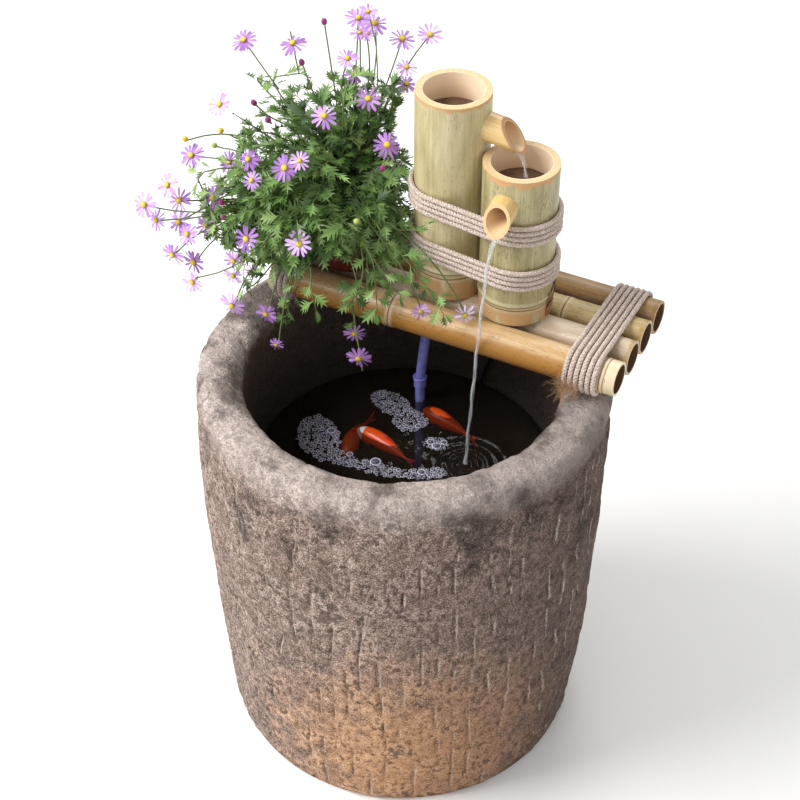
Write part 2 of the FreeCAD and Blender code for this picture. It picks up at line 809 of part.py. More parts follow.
# Shaft in two rubber bushes, with the impeller and its magnet turning on it
shaft_left = volute_left + 0.3
shaft_right = motor_left + well_length - 0.3
sub_part(pump_rod("PumpShaft", size["pump_shaft_radius"], shaft_left,
                  shaft_right - shaft_left), "pump_shaft")
bushes = []
for name, start in (("FrontBush", volute_left),
                    ("RearBush", motor_left + well_length - size["bush_length"])):
    outer_radius = size["bush_radius"] if name == "FrontBush" else well_radius - 0.05
    ring = pump_rod(name + "Outside", outer_radius, start, size["bush_length"])
    bore = pump_rod(name + "Bore", size["pump_shaft_radius"] + 0.05, start - 1.0,
                    size["bush_length"] + 2.0)
    bushes.append(cut(name, ring, (bore,)))
sub_part(compound("ShaftBushes", bushes), "pump_shaft_bushes")

magnet_left = motor_left + 0.2
magnet_outer = pump_rod("MagnetOutside", size["magnet_radius"], magnet_left,
                        size["magnet_length"])
magnet_bore = pump_rod("MagnetBore", size["pump_shaft_radius"] + size["shaft_play"],
                       magnet_left - 1.0,
                       size["magnet_length"] + 2.0)
sub_part(cut("RotorMagnet", magnet_outer, (magnet_bore,)), "pump_rotor_magnet")
blade_left = volute_left + size["volute_front_wall"] + 1.0
blade_length = motor_left - 0.5 - blade_left
hub_length = magnet_left - blade_left
hub_radius = size["bush_radius"] * 1.5
blades = []
for index in range(int(size["impeller_blade_count"].number)):
    turn = 360.0 * index / size["impeller_blade_count"].number
    aim = FreeCAD.Rotation(X_AXIS, turn)
    thickness = 1.2
    corner = aim.multVec(FreeCAD.Vector(0, -thickness / 2, 0))
    blade = block("Blade" + str(index + 1), blade_length, thickness, size["impeller_radius"],
                  (blade_left, pump_axis[0] + corner.y, pump_axis[1] + corner.z), aim)
    blades.append(blade)
hub = pump_rod("ImpellerHub", hub_radius, blade_left, hub_length)
impeller_bore = pump_rod("ImpellerBore", size["pump_shaft_radius"] + size["shaft_play"],
                         blade_left - 1.0, hub_length + 2.0)
sub_part(cut("Impeller", fuse("ImpellerSolid", [hub] + blades), (impeller_bore,)),
         "pump_impeller")

# Intake cover with its slots, the filter sponge behind it and the flow dial on its face
intake_left = volute_left - GAP - size["intake_length"]
intake_shell = pump_block("IntakeOutside", intake_left, size["intake_length"])
intake_hollow = pump_block("IntakeHollow", intake_left + size["intake_wall"],
                           size["intake_length"], size["intake_wall"])
slot_span = (size["pump_width"] - size["intake_wall"] * 4) / 2 - size["dial_radius"]
slots = []
slot_count = int(size["intake_slot_count"].number)
for side in (0, 1):
    for index in range(slot_count):
        height = pump_foot + size["pump_height"] * ((index + 1.0) / (slot_count + 1.0))
        start = pump_front + size["intake_wall"] * 2
        if side:
            start = riser_y + size["dial_radius"]
        slots.append(block("IntakeSlot" + str(side * slot_count + index + 1),
                           size["intake_wall"] + 2.0, slot_span, size["intake_slot_width"],
                           (intake_left - 1.0, start,
                            height - size["intake_slot_width"] / 2)))
dial_pin_radius = size["dial_radius"] * 0.3
dial_hole = pump_rod("DialHole", dial_pin_radius + size["shaft_play"], intake_left - 1.0,
                     size["intake_wall"] + 2.0)
sub_part(cut("IntakeCover", intake_shell, [intake_hollow, dial_hole] + slots),
         "pump_intake_cover")
dial_disc = pump_rod("DialDisc", size["dial_radius"],
                     intake_left - GAP - size["dial_thickness"], size["dial_thickness"])
dial_rib = block("DialRib", size["dial_thickness"], size["dial_radius"] * 0.4,
                 size["dial_radius"] * 1.8,
                 (intake_left - GAP - size["dial_thickness"] * 1.6,
                  riser_y - size["dial_radius"] * 0.2,
                  pump_axis[1] - size["dial_radius"] * 0.9))
dial_pin = pump_rod("DialPin", dial_pin_radius, intake_left - GAP - 1.0,
                    size["intake_wall"] + GAP + 1.5)
sub_part(fuse("FlowDial", (dial_disc, dial_rib, dial_pin)), "pump_flow_dial")
sponge_left = intake_left + size["intake_wall"] + 1.2
sub_part(block("FilterSponge", volute_left - GAP - 0.5 - sponge_left,
               size["pump_width"] - size["intake_wall"] * 2 - 0.8,
               size["pump_height"] - size["intake_wall"] * 2 - 0.8,
               (sponge_left, pump_front + size["intake_wall"] + 0.4,
                pump_foot + size["intake_wall"] + 0.4)), "pump_filter_sponge")

# Suction cups under the pump's four corners
cup_rise = size["pump_clearance"]
cups = []
for index, (cup_x, cup_y) in enumerate(
        ((volute_left + size["cup_radius"], pump_front + size["cup_radius"]),
         (volute_left + size["cup_radius"], riser_y * 2 - pump_front - size["cup_radius"]),
         (motor_right - size["cup_radius"], pump_front + size["cup_radius"]),
         (motor_right - size["cup_radius"], riser_y * 2 - pump_front - size["cup_radius"])),
        start=1):
    cups.append(solid("Cone", "SuctionCup" + str(index),
                      (cup_x, cup_y, size["basin_floor_thickness"]),
                      Radius1=size["cup_radius"], Radius2=size["cup_radius"] * 0.4,
                      Height=cup_rise))
sub_part(compound("SuctionCups", cups), "pump_suction_cups")

# Gland: a tapered sleeve that the cord comes out of
gland_start = motor_right - size["motor_cap_thickness"] + 0.5
gland_inner = size["motor_cap_thickness"] * 2
gland_collar = pump_rod("GlandCollar", size["gland_radius"] - 0.05, gland_start, gland_inner)
gland_taper = solid("Cone", "GlandTaper",
                    (gland_start + gland_inner, pump_axis[0], pump_axis[1]), ALONG_X,
                    Radius1=size["gland_radius"] - 0.05, Radius2=size["cord_radius"] + 0.9,
                    Height=size["gland_length"] - gland_inner)
sub_part(fuse("CordGland", (gland_collar, gland_taper)), "pump_cord_gland")
cord_exit = vector((gland_start + size["gland_length"], pump_axis[0], pump_axis[1]))

# Riser: a straight lower length on the nozzle, a leaning upper length in its socket
riser_foot = pump_top + 2.0
socket_top = size["riser_socket_height"]
socket_bore = size["riser_radius"] + size["riser_play"]
socket_foot = socket_top - size["riser_socket_length"]
lower_at = (size["riser_x"], riser_y, riser_foot)
lower_tube = rod("RiserLowerTube", size["riser_radius"], socket_top - riser_foot - 2.0, lower_at)
lower_socket = rod("RiserSocket", socket_bore + size["riser_socket_wall"],
                   size["riser_socket_length"], (size["riser_x"], riser_y, socket_foot))
lower_bead = solid("Torus", "RiserSocketBead", (size["riser_x"], riser_y, socket_top - 1.0),
                   Radius1=socket_bore + size["riser_socket_wall"], Radius2=1.0)
lower_bore = rod("RiserLowerBore", size["riser_radius"] - size["riser_wall"],
                 socket_top - riser_foot, (size["riser_x"], riser_y, riser_foot - 1.0))
seat_height = socket_top - size["riser_socket_length"] * 0.5
lower_seat = rod("RiserSeat", socket_bore, size["riser_socket_length"],
                 (size["riser_x"], riser_y, seat_height))
sub_part(cut("RiserLower", fuse("RiserLowerSolid", (lower_tube, lower_socket, lower_bead)),
             (lower_bore, lower_seat)), "riser_lower")
upper_start = seat_height + 1.2
upper_length = (size["riser_top_height"] - upper_start) * riser_stretch
upper_outer = leaning_rod("RiserUpperOutside", size["riser_radius"], upper_start, upper_length)
upper_bore = leaning_rod("RiserUpperBore", size["riser_radius"] - size["riser_wall"],
                         upper_start - 3.0, upper_length + 8.0)
sub_part(cut("RiserUpper", upper_outer, (upper_bore,)), "riser_upper")
grommet_start = (culm_foot + size["tall_node_height"] - size["grommet_length"] / 2)
grommet_outer = leaning_rod("GrommetOutside", size["riser_radius"] + size["grommet_wall"] - 0.1,
                            grommet_start, size["grommet_length"])
grommet_bore = leaning_rod("GrommetBore", size["riser_radius"] + 0.1, grommet_start - 2.0,
                           size["grommet_length"] + 4.0)
sub_part(cut("RiserGrommet", grommet_outer, (grommet_bore,)), "riser_grommet")


# Cord: up the basin's back wall, under the raft, over the rim and down to its coil
def bent_path(points):
    """Straight runs joined by tangent arcs as large as their runs allow."""
    edges = []
    radii = []
    here = points[0]
    for before, corner, after in zip(points, points[1:], points[2:]):
        back = before - corner
        ahead = after - corner
        shorter = min(back.Length, ahead.Length)
        turn = math.pi - back.getAngle(ahead)
        radius = 0.45 * shorter / math.tan(turn / 2)
        reach = 0.45 * shorter
        arc_start = corner + back.normalize() * reach
        arc_end = corner + ahead.normalize() * reach
        edges.append(Part.LineSegment(here, arc_start).toShape())
        edges.append(arc_through(arc_start, corner, arc_end))
        radii.append(radius)
        here = arc_end
    edges.append(Part.LineSegment(here, points[-1]).toShape())
    print("cord bend radii", [round(radius) for radius in radii])
    return Part.Wire(edges)


def tube(name, path, radius):
    """A round tube along a path, its volume set against its section times its length."""
    start = path.Edges[0]
    way = start.tangentAt(start.FirstParameter)
    section = Part.Wire(Part.Circle(path.Edges[0].Vertexes[0].Point, way, radius).toShape())
    swept = path.makePipeShell([section], True, False)
    share = swept.Volume / (math.pi * radius * radius * path.Length)
    print(name, "length", round(path.Length), "mm, volume share", round(share, 4))
    return shaped(name, swept)


cord_radius = size["cord_radius"].number
cord_floor = cord_radius + size["cord_lift"].number
coil_step = size["coil_step"].number
coil_quarters_in = int(size["coil_turns"].number) * 2
coil_outer_radius = size["coil_middle_radius"].number + coil_step * coil_quarters_in / 8
coil_centre = vector((size["coil_x"], size["coil_y"], cord_floor))


def coil_stations():
    """Points and directions each quarter turn: in on the floor, up a layer, and out again."""
    stations = []
    for quarter in range(2 * coil_quarters_in + 1):
        angle = -math.pi / 2 * (quarter + 1)
        outward = FreeCAD.Vector(math.cos(angle), math.sin(angle), 0)
        sideways = FreeCAD.Vector(math.sin(angle), -math.cos(angle), 0)
        past_middle = quarter - coil_quarters_in
        radius = coil_outer_radius - coil_step * (coil_quarters_in - abs(past_middle)) / 4
        climbed = coil_step * min(max(past_middle + 1, 0), 2) / 2
        drift = coil_step / (2 * math.pi) * (past_middle > 0) \
            - coil_step / (2 * math.pi) * (past_middle < 0)
        climbing = coil_step / math.pi * (past_middle == 0)
        way = sideways * radius + outward * drift + Z_AXIS * climbing
        stations.append((coil_centre + outward * radius + Z_AXIS * climbed, way.normalize()))
    return stations


coil_quarters = coil_stations()
coil_in, coil_in_way = coil_quarters[0]
coil_out, coil_out_way = coil_quarters[-1]
coil_start = coil_in - coil_in_way * (2 * cord_radius)
coil_end = coil_out + coil_out_way * (4 * cord_radius)
coil_edges = [Part.LineSegment(coil_start, coil_in).toShape()]
for (here, way), (there, next_way) in zip(coil_quarters, coil_quarters[1:]):
    coil_edges += biarc(here, way, there, next_way)
coil_edges.append(Part.LineSegment(coil_out, coil_end).toShape())
coil_path = Part.Wire(coil_edges)
report_gap("PumpCordCoil", coil_path, 2 * cord_radius, 40.0)

CORD_ROUTE = (
    (39.0, 106.2, 86.0),
    (57.5, 112.7, 88.0),
    (68.0, 125.7, 97.0),
    (67.0, 138.0, 111.0),
    (56.0, 148.5, 134.0),
    (40.0, 155.0, 170.0),
    (26.0, 159.0, 215.0),
    (17.0, 161.5, 262.0),
    (14.0, 163.0, 308.0),
    (19.0, 163.5, 352.0),
    (33.0, 161.5, 396.0),
    (46.0, 160.0, 438.0),
    (55.0, 158.5, 464.0),
    (58.5, 157.5, 482.0),
    (60.5, 164.2, 494.0),
    (61.5, 176.6, 501.0),
    (62.5, 203.6, 501.0),
    (63.5, 215.8, 494.0),
    (64.5, 223.9, 481.0),
    (66.0, 224.8, 455.0),
    (70.0, 223.5, 404.0),
    (76.0, 221.5, 345.0),
    (81.0, 220.5, 286.0),
    (84.0, 220.5, 228.0),
    (84.0, 221.5, 170.0),
    (82.0, 224.0, 114.0),
    (77.0, 228.0, 74.0),
    (71.0, 231.0, 48.0),
    (61.0, 233.0, 28.0),
    (46.0, 234.5, 12.5),
)
cord_points = [cord_exit] + [FreeCAD.Vector(*point) for point in CORD_ROUTE]
cord_points += [coil_start - coil_in_way * 20.0, coil_start]
sub_part(tube("PumpCord", bent_path(cord_points), cord_radius), "pump_cord")
sub_part(tube("PumpCordCoil", coil_path, cord_radius), "pump_cord_coil")

# Tie round the coil's turns
tie_gap = 0.2
tie_lowest = cord_floor - cord_radius - tie_gap - size["tie_thickness"]
tie_inside = size["coil_x"] + coil_outer_radius - coil_step * coil_quarters_in / 4 - cord_radius
tie_span = coil_step * coil_quarters_in / 4 + cord_radius * 2
tie_low_y = size["coil_y"] - size["tie_width"] / 2
tie_outer = block("TieOutside", tie_span + (tie_gap + size["tie_thickness"]) * 2,
                  size["tie_width"], coil_step + cord_radius * 2
                  + (tie_gap + size["tie_thickness"]) * 2,
                  (tie_inside - tie_gap - size["tie_thickness"], tie_low_y, tie_lowest))
tie_inner = block("TieInside", tie_span + tie_gap * 2, size["tie_width"] + 2.0,
                  coil_step + cord_radius * 2 + tie_gap * 2,
                  (tie_inside - tie_gap, tie_low_y - 1.0, tie_lowest + size["tie_thickness"]))
sub_part(cut("CoilTie", tie_outer, (tie_inner,)), "pump_cord_tie")

# Plug: flat, with two pins, lying beside the coil
plug_half = coil_end.z - 0.15
plug = doc.addObject("PartDesign::Body", "PlugBody")
plug_back = size["plug_relief_length"]
plug_shoulder = plug_back + size["plug_length"] * 0.3
plug_front = plug_back + size["plug_length"]
half_neck = size["plug_neck_width"] / 2
half_width = size["plug_width"] / 2
plug_outline = outline(plug, "PlugOutline", (
    (plug_back, -half_neck),
    (plug_shoulder, -half_width),
    (plug_front, -half_width),
    (plug_front, half_width),
    (plug_shoulder, half_width),
    (plug_back, half_neck),
), role="XY_Plane")
plug_pad = plug.newObject("PartDesign::Pad", "PlugPad")
plug_pad.Profile = plug_outline
plug_pad.Length = 2 * plug_half
plug_pad.Midplane = True
doc.recompute()
round_edges(plug, "PlugRound", measure(2.5), lambda edge: isinstance(edge.Curve, Part.Line))
relief = solid("Cone", "PlugRelief", (0, 0, 0), ALONG_X,
               Radius1=size["cord_radius"] + 0.3, Radius2=half_neck * 0.8,
               Height=size["plug_relief_length"] + 3.0)
pins = [rod("PlugPin" + str(side + 1), size["plug_pin_radius"], size["plug_pin_length"] + 2.0,
            (plug_front - 2.0, size["plug_pin_spacing"] * (side - 0.5), 0), ALONG_X)
        for side in (0, 1)]
plug_whole = fuse("Plug", [plug, relief] + pins)
plug_whole.Placement = FreeCAD.Placement(coil_end, FreeCAD.Rotation(X_AXIS, coil_out_way))
sub_part(plug_whole, "pump_plug")

# Plant pot on the raft
pot_foot = raft_top + GAP
pot_inner_foot = size["pot_foot_radius"] - size["pot_wall"]
pot_inner_top = size["pot_top_radius"] - size["pot_wall"]
pot = turned_body("PlantPot", (
    (ZERO, ZERO),
    (size["pot_foot_radius"], ZERO),
    (size["pot_top_radius"] - size["pot_lip"], size["pot_height"] - size["pot_lip_height"]),
    (size["pot_top_radius"], size["pot_height"] - size["pot_lip_height"]),
    (size["pot_top_radius"], size["pot_height"]),
    (pot_inner_top - size["pot_lip"], size["pot_height"]),
    (pot_inner_foot, size["pot_wall"]),
    (ZERO, size["pot_wall"]),
))
place(pot, (size["pot_x"], size["pot_y"], pot_foot))
drains = []
for index in range(4):
    angle = measure(45.0 + 90.0 * index)
    drains.append(rod("PotDrain" + str(index + 1), size["pot_drain_radius"],
                      size["pot_wall"] + 2.0,
                      (size["pot_x"] + size["pot_foot_radius"] * 0.55 * cosine(angle),
                       size["pot_y"] + size["pot_foot_radius"] * 0.55 * sine(angle),
                       pot_foot - 1.0)))
sub_part(cut("PotDrained", pot, drains), "plant_pot")
soil_depth = size["pot_height"] - size["soil_below_rim"] - size["pot_wall"]
soil_top = pot_foot + size["pot_wall"] + soil_depth
soil_spread = (pot_inner_top - size["pot_lip"] - pot_inner_foot) \
    * (soil_depth / (size["pot_height"] - size["pot_wall"]))
sub_part(solid("Cone", "PottingSoil", (size["pot_x"], size["pot_y"], pot_foot + size["pot_wall"]),
               Radius1=pot_inner_foot, Radius2=pot_inner_foot + soil_spread,
               Height=soil_depth), "potting_soil")

# Foliage: a rounded mass of leaves that hangs over the pot's lip
crown = (size["pot_x"], size["pot_y"], pot_foot + size["pot_height"])


LOBES = (
    # offset from the crown, and the half widths along X, Y and Z as shares of its radius
    ((-14.0, -10.0, 6.0), 1.0, 0.95, 1.0),
    ((-76.0, -48.0, -28.0), 0.6, 0.55, 0.5),
    ((-38.0, -52.0, -12.0), 0.7, 0.55, 0.66),
)


def lobe(name, offset, across, deep, tall):
    """One rounded lobe of the foliage, placed from the crown and sized from its radius."""
    radius = size["crown_radius"]
    at = tuple(start + move for start, move in zip(crown, offset))
    return solid("Ellipsoid", name, at, Radius1=radius * tall, Radius2=radius * across,
                 Radius3=radius * deep, Angle1=-90.0, Angle2=90.0, Angle3=360.0)


leaf_lobes = fuse("LeafLobes", [lobe("LeafLobe" + str(index), *shape)
                                for index, shape in enumerate(LOBES, start=1)])
reach = size["crown_radius"] * 4
leaf_bottom = raft_top + rope_stack + 4.0
leaf_right = size["tall_culm_x"] - size["culm_radius"] - rope_stack - 5.0
below_leaves = block("BelowLeaves", reach, reach, reach,
                     (crown[0] - reach / 2, crown[1] - reach / 2, leaf_bottom - reach))
beside_leaves = block("BesideLeaves", reach, reach, reach,
                      (leaf_right, crown[1] - reach / 2, crown[2] - reach / 2))
pot_room = solid("Cone", "PotRoom", (size["pot_x"], size["pot_y"], pot_foot),
                 Radius1=size["pot_foot_radius"] + 1.0, Radius2=size["pot_top_radius"] + 2.5,
                 Height=size["pot_height"] + 0.5)
leaf_mass = cut("LeafMass", leaf_lobes, (below_leaves, beside_leaves, pot_room))
crown_foot = rod("CrownFoot", size["crown_foot_radius"], size["crown_radius"] / 2,
                 (size["pot_x"], size["pot_y"], soil_top))
foliage = sub_part(fuse("Foliage", (leaf_mass, crown_foot)), "foliage")
doc.recompute()

# Flower heads and buds, each placed from the crown with its radius
FLOWERS = (
    (-125, 5, 140, 16), (-80, 30, 135, 16), (-10, 70, 170, 12), (-30, 85, 150, 16),
    (-5, 75, 155, 16), (-10, 50, 155, 11), (-15, 75, 140, 12), (20, 90, 135, 16),
    (50, 95, 145, 16), (-25, 50, 120, 14), (35, 70, 115, 13), (-20, 55, 100, 14),
    (35, 70, 95, 13), (-135, -35, 80, 15), (20, 10, 105, 16), (-5, -40, 105, 16),
    (60, -25, 80, 16), (-150, -75, 35, 16), (-115, -55, 25, 14), (-75, -80, 55, 14),
    (-60, -100, 45, 12), (-25, -90, 65, 16), (-10, -85, 75, 12), (-160, -110, 15, 15),
    (-175, -135, 0, 16), (-150, -105, -5, 16), (-120, -85, -5, 15), (-165, -130, -20, 13),
    (-150, -110, -30, 16), (-125, -95, -35, 16), (-130, -125, -30, 14), (-141, -140, -51, 15),
    (-125, -125, -65, 16), (-115, -145, -75, 14), (-80, -115, -55, 14), (-65, -110, -25, 16),
    (-85, -110, -80, 13), (-70, -95, -80, 11), (-70, -140, -95, 16), (-40, -120, -110, 14),
    (0, -110, -10, 16), (-20, -135, -135, 9), (50, -85, -130, 14), (65, -105, -145, 16),
    (125, -75, -80, 12), (170, -60, -80, 14),
)
BUDS = (
    (-55, 55, 155), (-70, 30, 115), (-105, -15, 80), (-70, -45, 85), (-105, -40, 40),
    (-95, -105, -10), (-100, -100, 5), (-20, -95, -95), (65, -45, 65), (-130, -45, 55),
    (-160, -70, 50), (55, -85, 20), (-130, -60, 45), (-25, -105, -105),
)
LOOK = FreeCAD.Vector(0.25, -0.55, 0.6)  # heads turn partly to the light at the front
LOOK_OUT = FreeCAD.Vector(0.25, -0.8, 0.25)  # and hanging heads more outwards
STEM_GAP = 0.3
STEM_SAMPLES = 120  # places along a stem where it is tested for touching what is beside it
STEM_BENDS = [(inside, share, spin) for inside in (0.25, 0.6, 0.0)
              for share in (1.0, 0.5, 0.2, 1.5, 2.0)
              for spin in (0, 30, -30, 60, -60, 90, -90, 130, -130, 180)]
STALK = 8.0  # length of the stalk behind a hanging head
HANGING = -50.0  # a head lower than this under the crown hangs
crown_point = vector(crown)
stem_radius = size["stem_radius"].number
stem_room = stem_radius + STEM_GAP
bud_radius = size["bud_radius"].number
head_depth = size["daisy_thickness"].number * 2.5
crown_radius = size["crown_radius"].number
HEADS = [(FreeCAD.Vector(*flower[:3]), float(flower[3])) for flower in FLOWERS]
HEADS += [(FreeCAD.Vector(*bud), bud_radius) for bud in BUDS]
ray_count = int(size["daisy_rays"].number)


def head_facing(offset):
    """The way that a head faces: half outwards from the crown, half to the light."""
    look = LOOK_OUT if offset.z < HANGING else LOOK
    return (FreeCAD.Vector(offset).normalize() * 0.5 + look).normalize()


def leaf_distance(point):
    """About how far a point lies outside the foliage, and less than nothing inside it."""
    away = []
    for offset, *shares in LOBES:
        spread = point - crown_point - FreeCAD.Vector(*offset)
        radii = [crown_radius * share for share in shares]
        level = math.sqrt(sum((part / radius) ** 2 for part, radius in zip(spread, radii)))
        slope = math.sqrt(sum((part / radius ** 2) ** 2
                              for part, radius in zip(spread, radii))) / level
        away.append((level - 1) / slope)
    return max(min(away), point.x - leaf_right.number, leaf_bottom.number - point.z)


def meets_a_head(point, own):
    """Whether a stem's middle line at a point would touch a head or bud other than its own."""
    for offset, radius in HEADS:
        spread = point - crown_point - offset
        if offset is own or spread.Length > radius + stem_room:
            continue
        level = spread.dot(head_facing(offset))
        if -stem_room < level < head_depth + stem_room or radius == bud_radius:
            return True
    return False


def meets_a_stem(line):
    """Whether a stem's middle line comes too near to that of a stem made before it."""
    return any(line.distToShape(other)[0] < stem_radius + stem_room for other in stem_lines
               if line.BoundBox.intersect(other.BoundBox))


def bent_line(start, end, tangent, spin, share):
    """A round arc from start to end, turned about its chord, with a share of its full bend."""
    chord = end - start
    along = FreeCAD.Vector(chord).normalize()
    aside = (tangent - along * tangent.dot(along)).normalize()
    aside = FreeCAD.Rotation(along, spin).multVec(aside)
    bend = along.getAngle(tangent) * share
    middle = (start + end) * 0.5 - aside * (chord.Length / 2 * math.tan(bend / 2))
    return Part.Arc(start, middle, end).toShape()


def slant(line, at, facing):
    """How far the side of a stem stands out along a facing, past its middle line's end."""
    return stem_radius * math.sin(line.tangentAt(at).getAngle(facing))


def rim_clear(line, at):
    """Whether the round end that a stem would have at a place on its line clears the foliage."""
    way = line.tangentAt(at)
    across = way.cross(Z_AXIS if abs(way.z) < 0.9 else X_AXIS).normalize() * stem_radius
    rim = [FreeCAD.Rotation(way, turn).multVec(across) for turn in range(0, 360, 45)]
    return min(leaf_distance(line.valueAt(at) + step) for step in rim) > STEM_GAP


def leaving(line, first, last, step):
    """The place on a stem's line, between a covered and a bare one, where it is just bare."""
    while (last - first) * line.Curve.Radius > step:
        middle = (first + last) / 2
        if rim_clear(line, middle):
            last = middle
        else:
            first = middle
    return last


def stem(offset, back):
    """A bent stem from the foliage to the back of a head, past the heads beside it.

    A head that hangs below the crown is held by a short stalk at its back, and its stem arches
    over and down to that.
    """
    facing = head_facing(offset)
    hangs = offset.z < HANGING
    held = crown_point + offset - facing * (back + STEM_GAP + (STALK if hangs else 0))
    for inside, share, spin in STEM_BENDS:
        start = crown_point + FreeCAD.Vector(
            offset.x * inside, offset.y * (0.6 if hangs else inside), max(offset.z * inside, 0))
        along = FreeCAD.Vector(held - start).normalize()
        tangent = (along - Z_AXIS * 0.9 if hangs else along + facing * 0.7).normalize()
        line = bent_line(start, held, tangent, spin, share)
        end = held - facing * slant(line, line.LastParameter, facing)
        line = bent_line(start, end, tangent, spin, share)
        first, last = line.ParameterRange
        step = (last - first) / STEM_SAMPLES
        samples = [first + step * count for count in range(STEM_SAMPLES)]
        covered = [sample for sample in samples if not rim_clear(line, sample)]
        if covered:
            first = leaving(line, max(covered), max(covered) + step, STEM_GAP / 10)
        bare_line = line.Curve.toShape(first, last)
        if not (meets_a_stem(bare_line) or any(
                meets_a_head(line.valueAt(sample), offset) for sample in samples
                if sample > first)):
            break
    else:
        print("a stem touches what is beside it:", offset)
    stem_lines.append(bare_line)
    section = Part.Face(Part.Wire(
        Part.Circle(line.valueAt(first), line.tangentAt(first), stem_radius).toShape()))
    pieces = [section.revolve(line.Curve.Center, line.Curve.Axis, math.degrees(last - first))]
    if hangs:
        pieces.append(Part.makeCylinder(stem_radius, STALK - STEM_GAP, held + facing * STEM_GAP,
                                        facing))
    return pieces


def daisy(offset, radius):
    """A head's rays as one flat star, and its disc on top."""
    facing = head_facing(offset)
    at = FreeCAD.Placement(crown_point + offset, FreeCAD.Rotation(Z_AXIS, facing))
    thickness = size["daisy_thickness"].number
    half = size["daisy_ray_width"].number / 2 * radius / 16
    valley = radius * size["daisy_disc_share"].number * 1.2
    corners = []
    for ray in range(ray_count):
        middle = 2 * math.pi * ray / ray_count
        for reach, turn in ((radius, -math.asin(half / radius)),
                            (radius, math.asin(half / radius)),
                            (valley, math.pi / ray_count)):
            corners.append(FreeCAD.Vector(reach * math.cos(middle + turn),
                                          reach * math.sin(middle + turn), 0))
    star = Part.Face(Part.makePolygon(corners + corners[:1]))
    rays = star.extrude(Z_AXIS * thickness)
    disc = Part.makeCylinder(radius * size["daisy_disc_share"].number, thickness * 1.5,
                             Z_AXIS * thickness, Z_AXIS)
    return rays.transformed(at.Matrix), disc.transformed(at.Matrix)


stem_lines = []
star_solids = []
disc_solids = []
stem_solids = []
bud_solids = []
for offset, radius in HEADS:
    if radius == bud_radius:
        bud_solids.append(Part.makeSphere(radius, crown_point + offset))
        stem_solids += stem(offset, radius)
    else:
        rays, disc = daisy(offset, radius)
        star_solids.append(rays)
        disc_solids.append(disc)
        stem_solids += stem(offset, 0.0)
sub_part(shaped("DaisyRays", Part.makeCompound(star_solids)), "daisy_rays")
sub_part(shaped("DaisyDiscs", Part.makeCompound(disc_solids)), "daisy_discs")
sub_part(shaped("FlowerBuds", Part.makeCompound(bud_solids)), "flower_buds")
sub_part(shaped("FlowerStems", Part.makeCompound(stem_solids)), "flower_stems")

doc.recompute()
for item in doc.Objects:
    if "Invalid" in item.State or "Error" in item.State:
        raise RuntimeError("failed: " + item.Name + " " + str(item.State))
os.makedirs("parts", exist_ok=True)
for item in sub_parts:
    if item.Shape.isNull() or not item.Shape.isValid():
        raise RuntimeError("not a valid shape: " + item.Label)
    item.Shape.exportStep(os.path.join("parts", item.Label + ".step"))
print("sub-parts:", len(sub_parts))
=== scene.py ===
import logging
import math
import random
from collections.abc import Callable, Iterable, Sequence
from dataclasses import dataclass
from enum import Enum

import bmesh
import bpy
import numpy as np
from mathutils import Matrix, Vector, noise


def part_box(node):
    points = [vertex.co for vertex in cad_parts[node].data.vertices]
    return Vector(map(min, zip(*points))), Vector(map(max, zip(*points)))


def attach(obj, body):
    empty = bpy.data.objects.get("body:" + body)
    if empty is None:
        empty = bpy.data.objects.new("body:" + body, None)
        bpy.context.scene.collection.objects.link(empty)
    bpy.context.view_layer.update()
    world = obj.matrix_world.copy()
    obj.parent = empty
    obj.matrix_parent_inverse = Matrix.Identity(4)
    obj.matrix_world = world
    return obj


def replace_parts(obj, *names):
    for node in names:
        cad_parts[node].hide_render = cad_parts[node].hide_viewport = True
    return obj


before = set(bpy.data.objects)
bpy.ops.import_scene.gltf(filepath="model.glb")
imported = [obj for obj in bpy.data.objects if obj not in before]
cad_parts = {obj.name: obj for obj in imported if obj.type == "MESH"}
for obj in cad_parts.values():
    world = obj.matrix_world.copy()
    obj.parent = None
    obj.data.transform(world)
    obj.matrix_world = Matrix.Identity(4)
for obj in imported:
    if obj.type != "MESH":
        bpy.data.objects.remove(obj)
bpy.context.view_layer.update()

# A bamboo spout fountain on a hewn stone basin. The frame is the model's own, in metres: the
# origin is the middle of the basin's foot, +X runs to the raft's lashed end, +Z is up. Sizes in
# the classes below are in millimetres, and MM turns them to metres.

LOG = logging.getLogger("spout_fountain")
MM = 0.001
UP = Vector((0.0, 0.0, 1.0))
Place = tuple[float, float, float]
Span = tuple[float, float]
Tree, Node, Socket = bpy.types.NodeTree, bpy.types.Node, bpy.types.NodeSocket
Mesh, Object, Shape = bpy.types.Mesh, bpy.types.Object, bmesh.types.BMesh


class Body(Enum):
    """The moving bodies that a piece can ride on."""

    BASIN = "basin"
    FOUNTAIN = "fountain"
    PLANTER = "planter"
    IMPELLER = "impeller"
    INTAKE = "intake_cover"
    DIAL = "flow_dial"


def at(x: float, y: float, z: float) -> Vector:
    """A place given in millimetres, in metres."""
    return Vector((x, y, z)) * MM


def linear(shade: str) -> tuple[float, float, float, float]:
    """An sRGB hex value, "#rrggbb", as linear red, green and blue with a full alpha."""
    parts = [int(shade[start:start + 2], 16) / 255 for start in (1, 3, 5)]
    red, green, blue = (part / 12.92 if part <= 0.04045 else ((part + 0.055) / 1.055) ** 2.4
                        for part in parts)
    return red, green, blue, 1.0


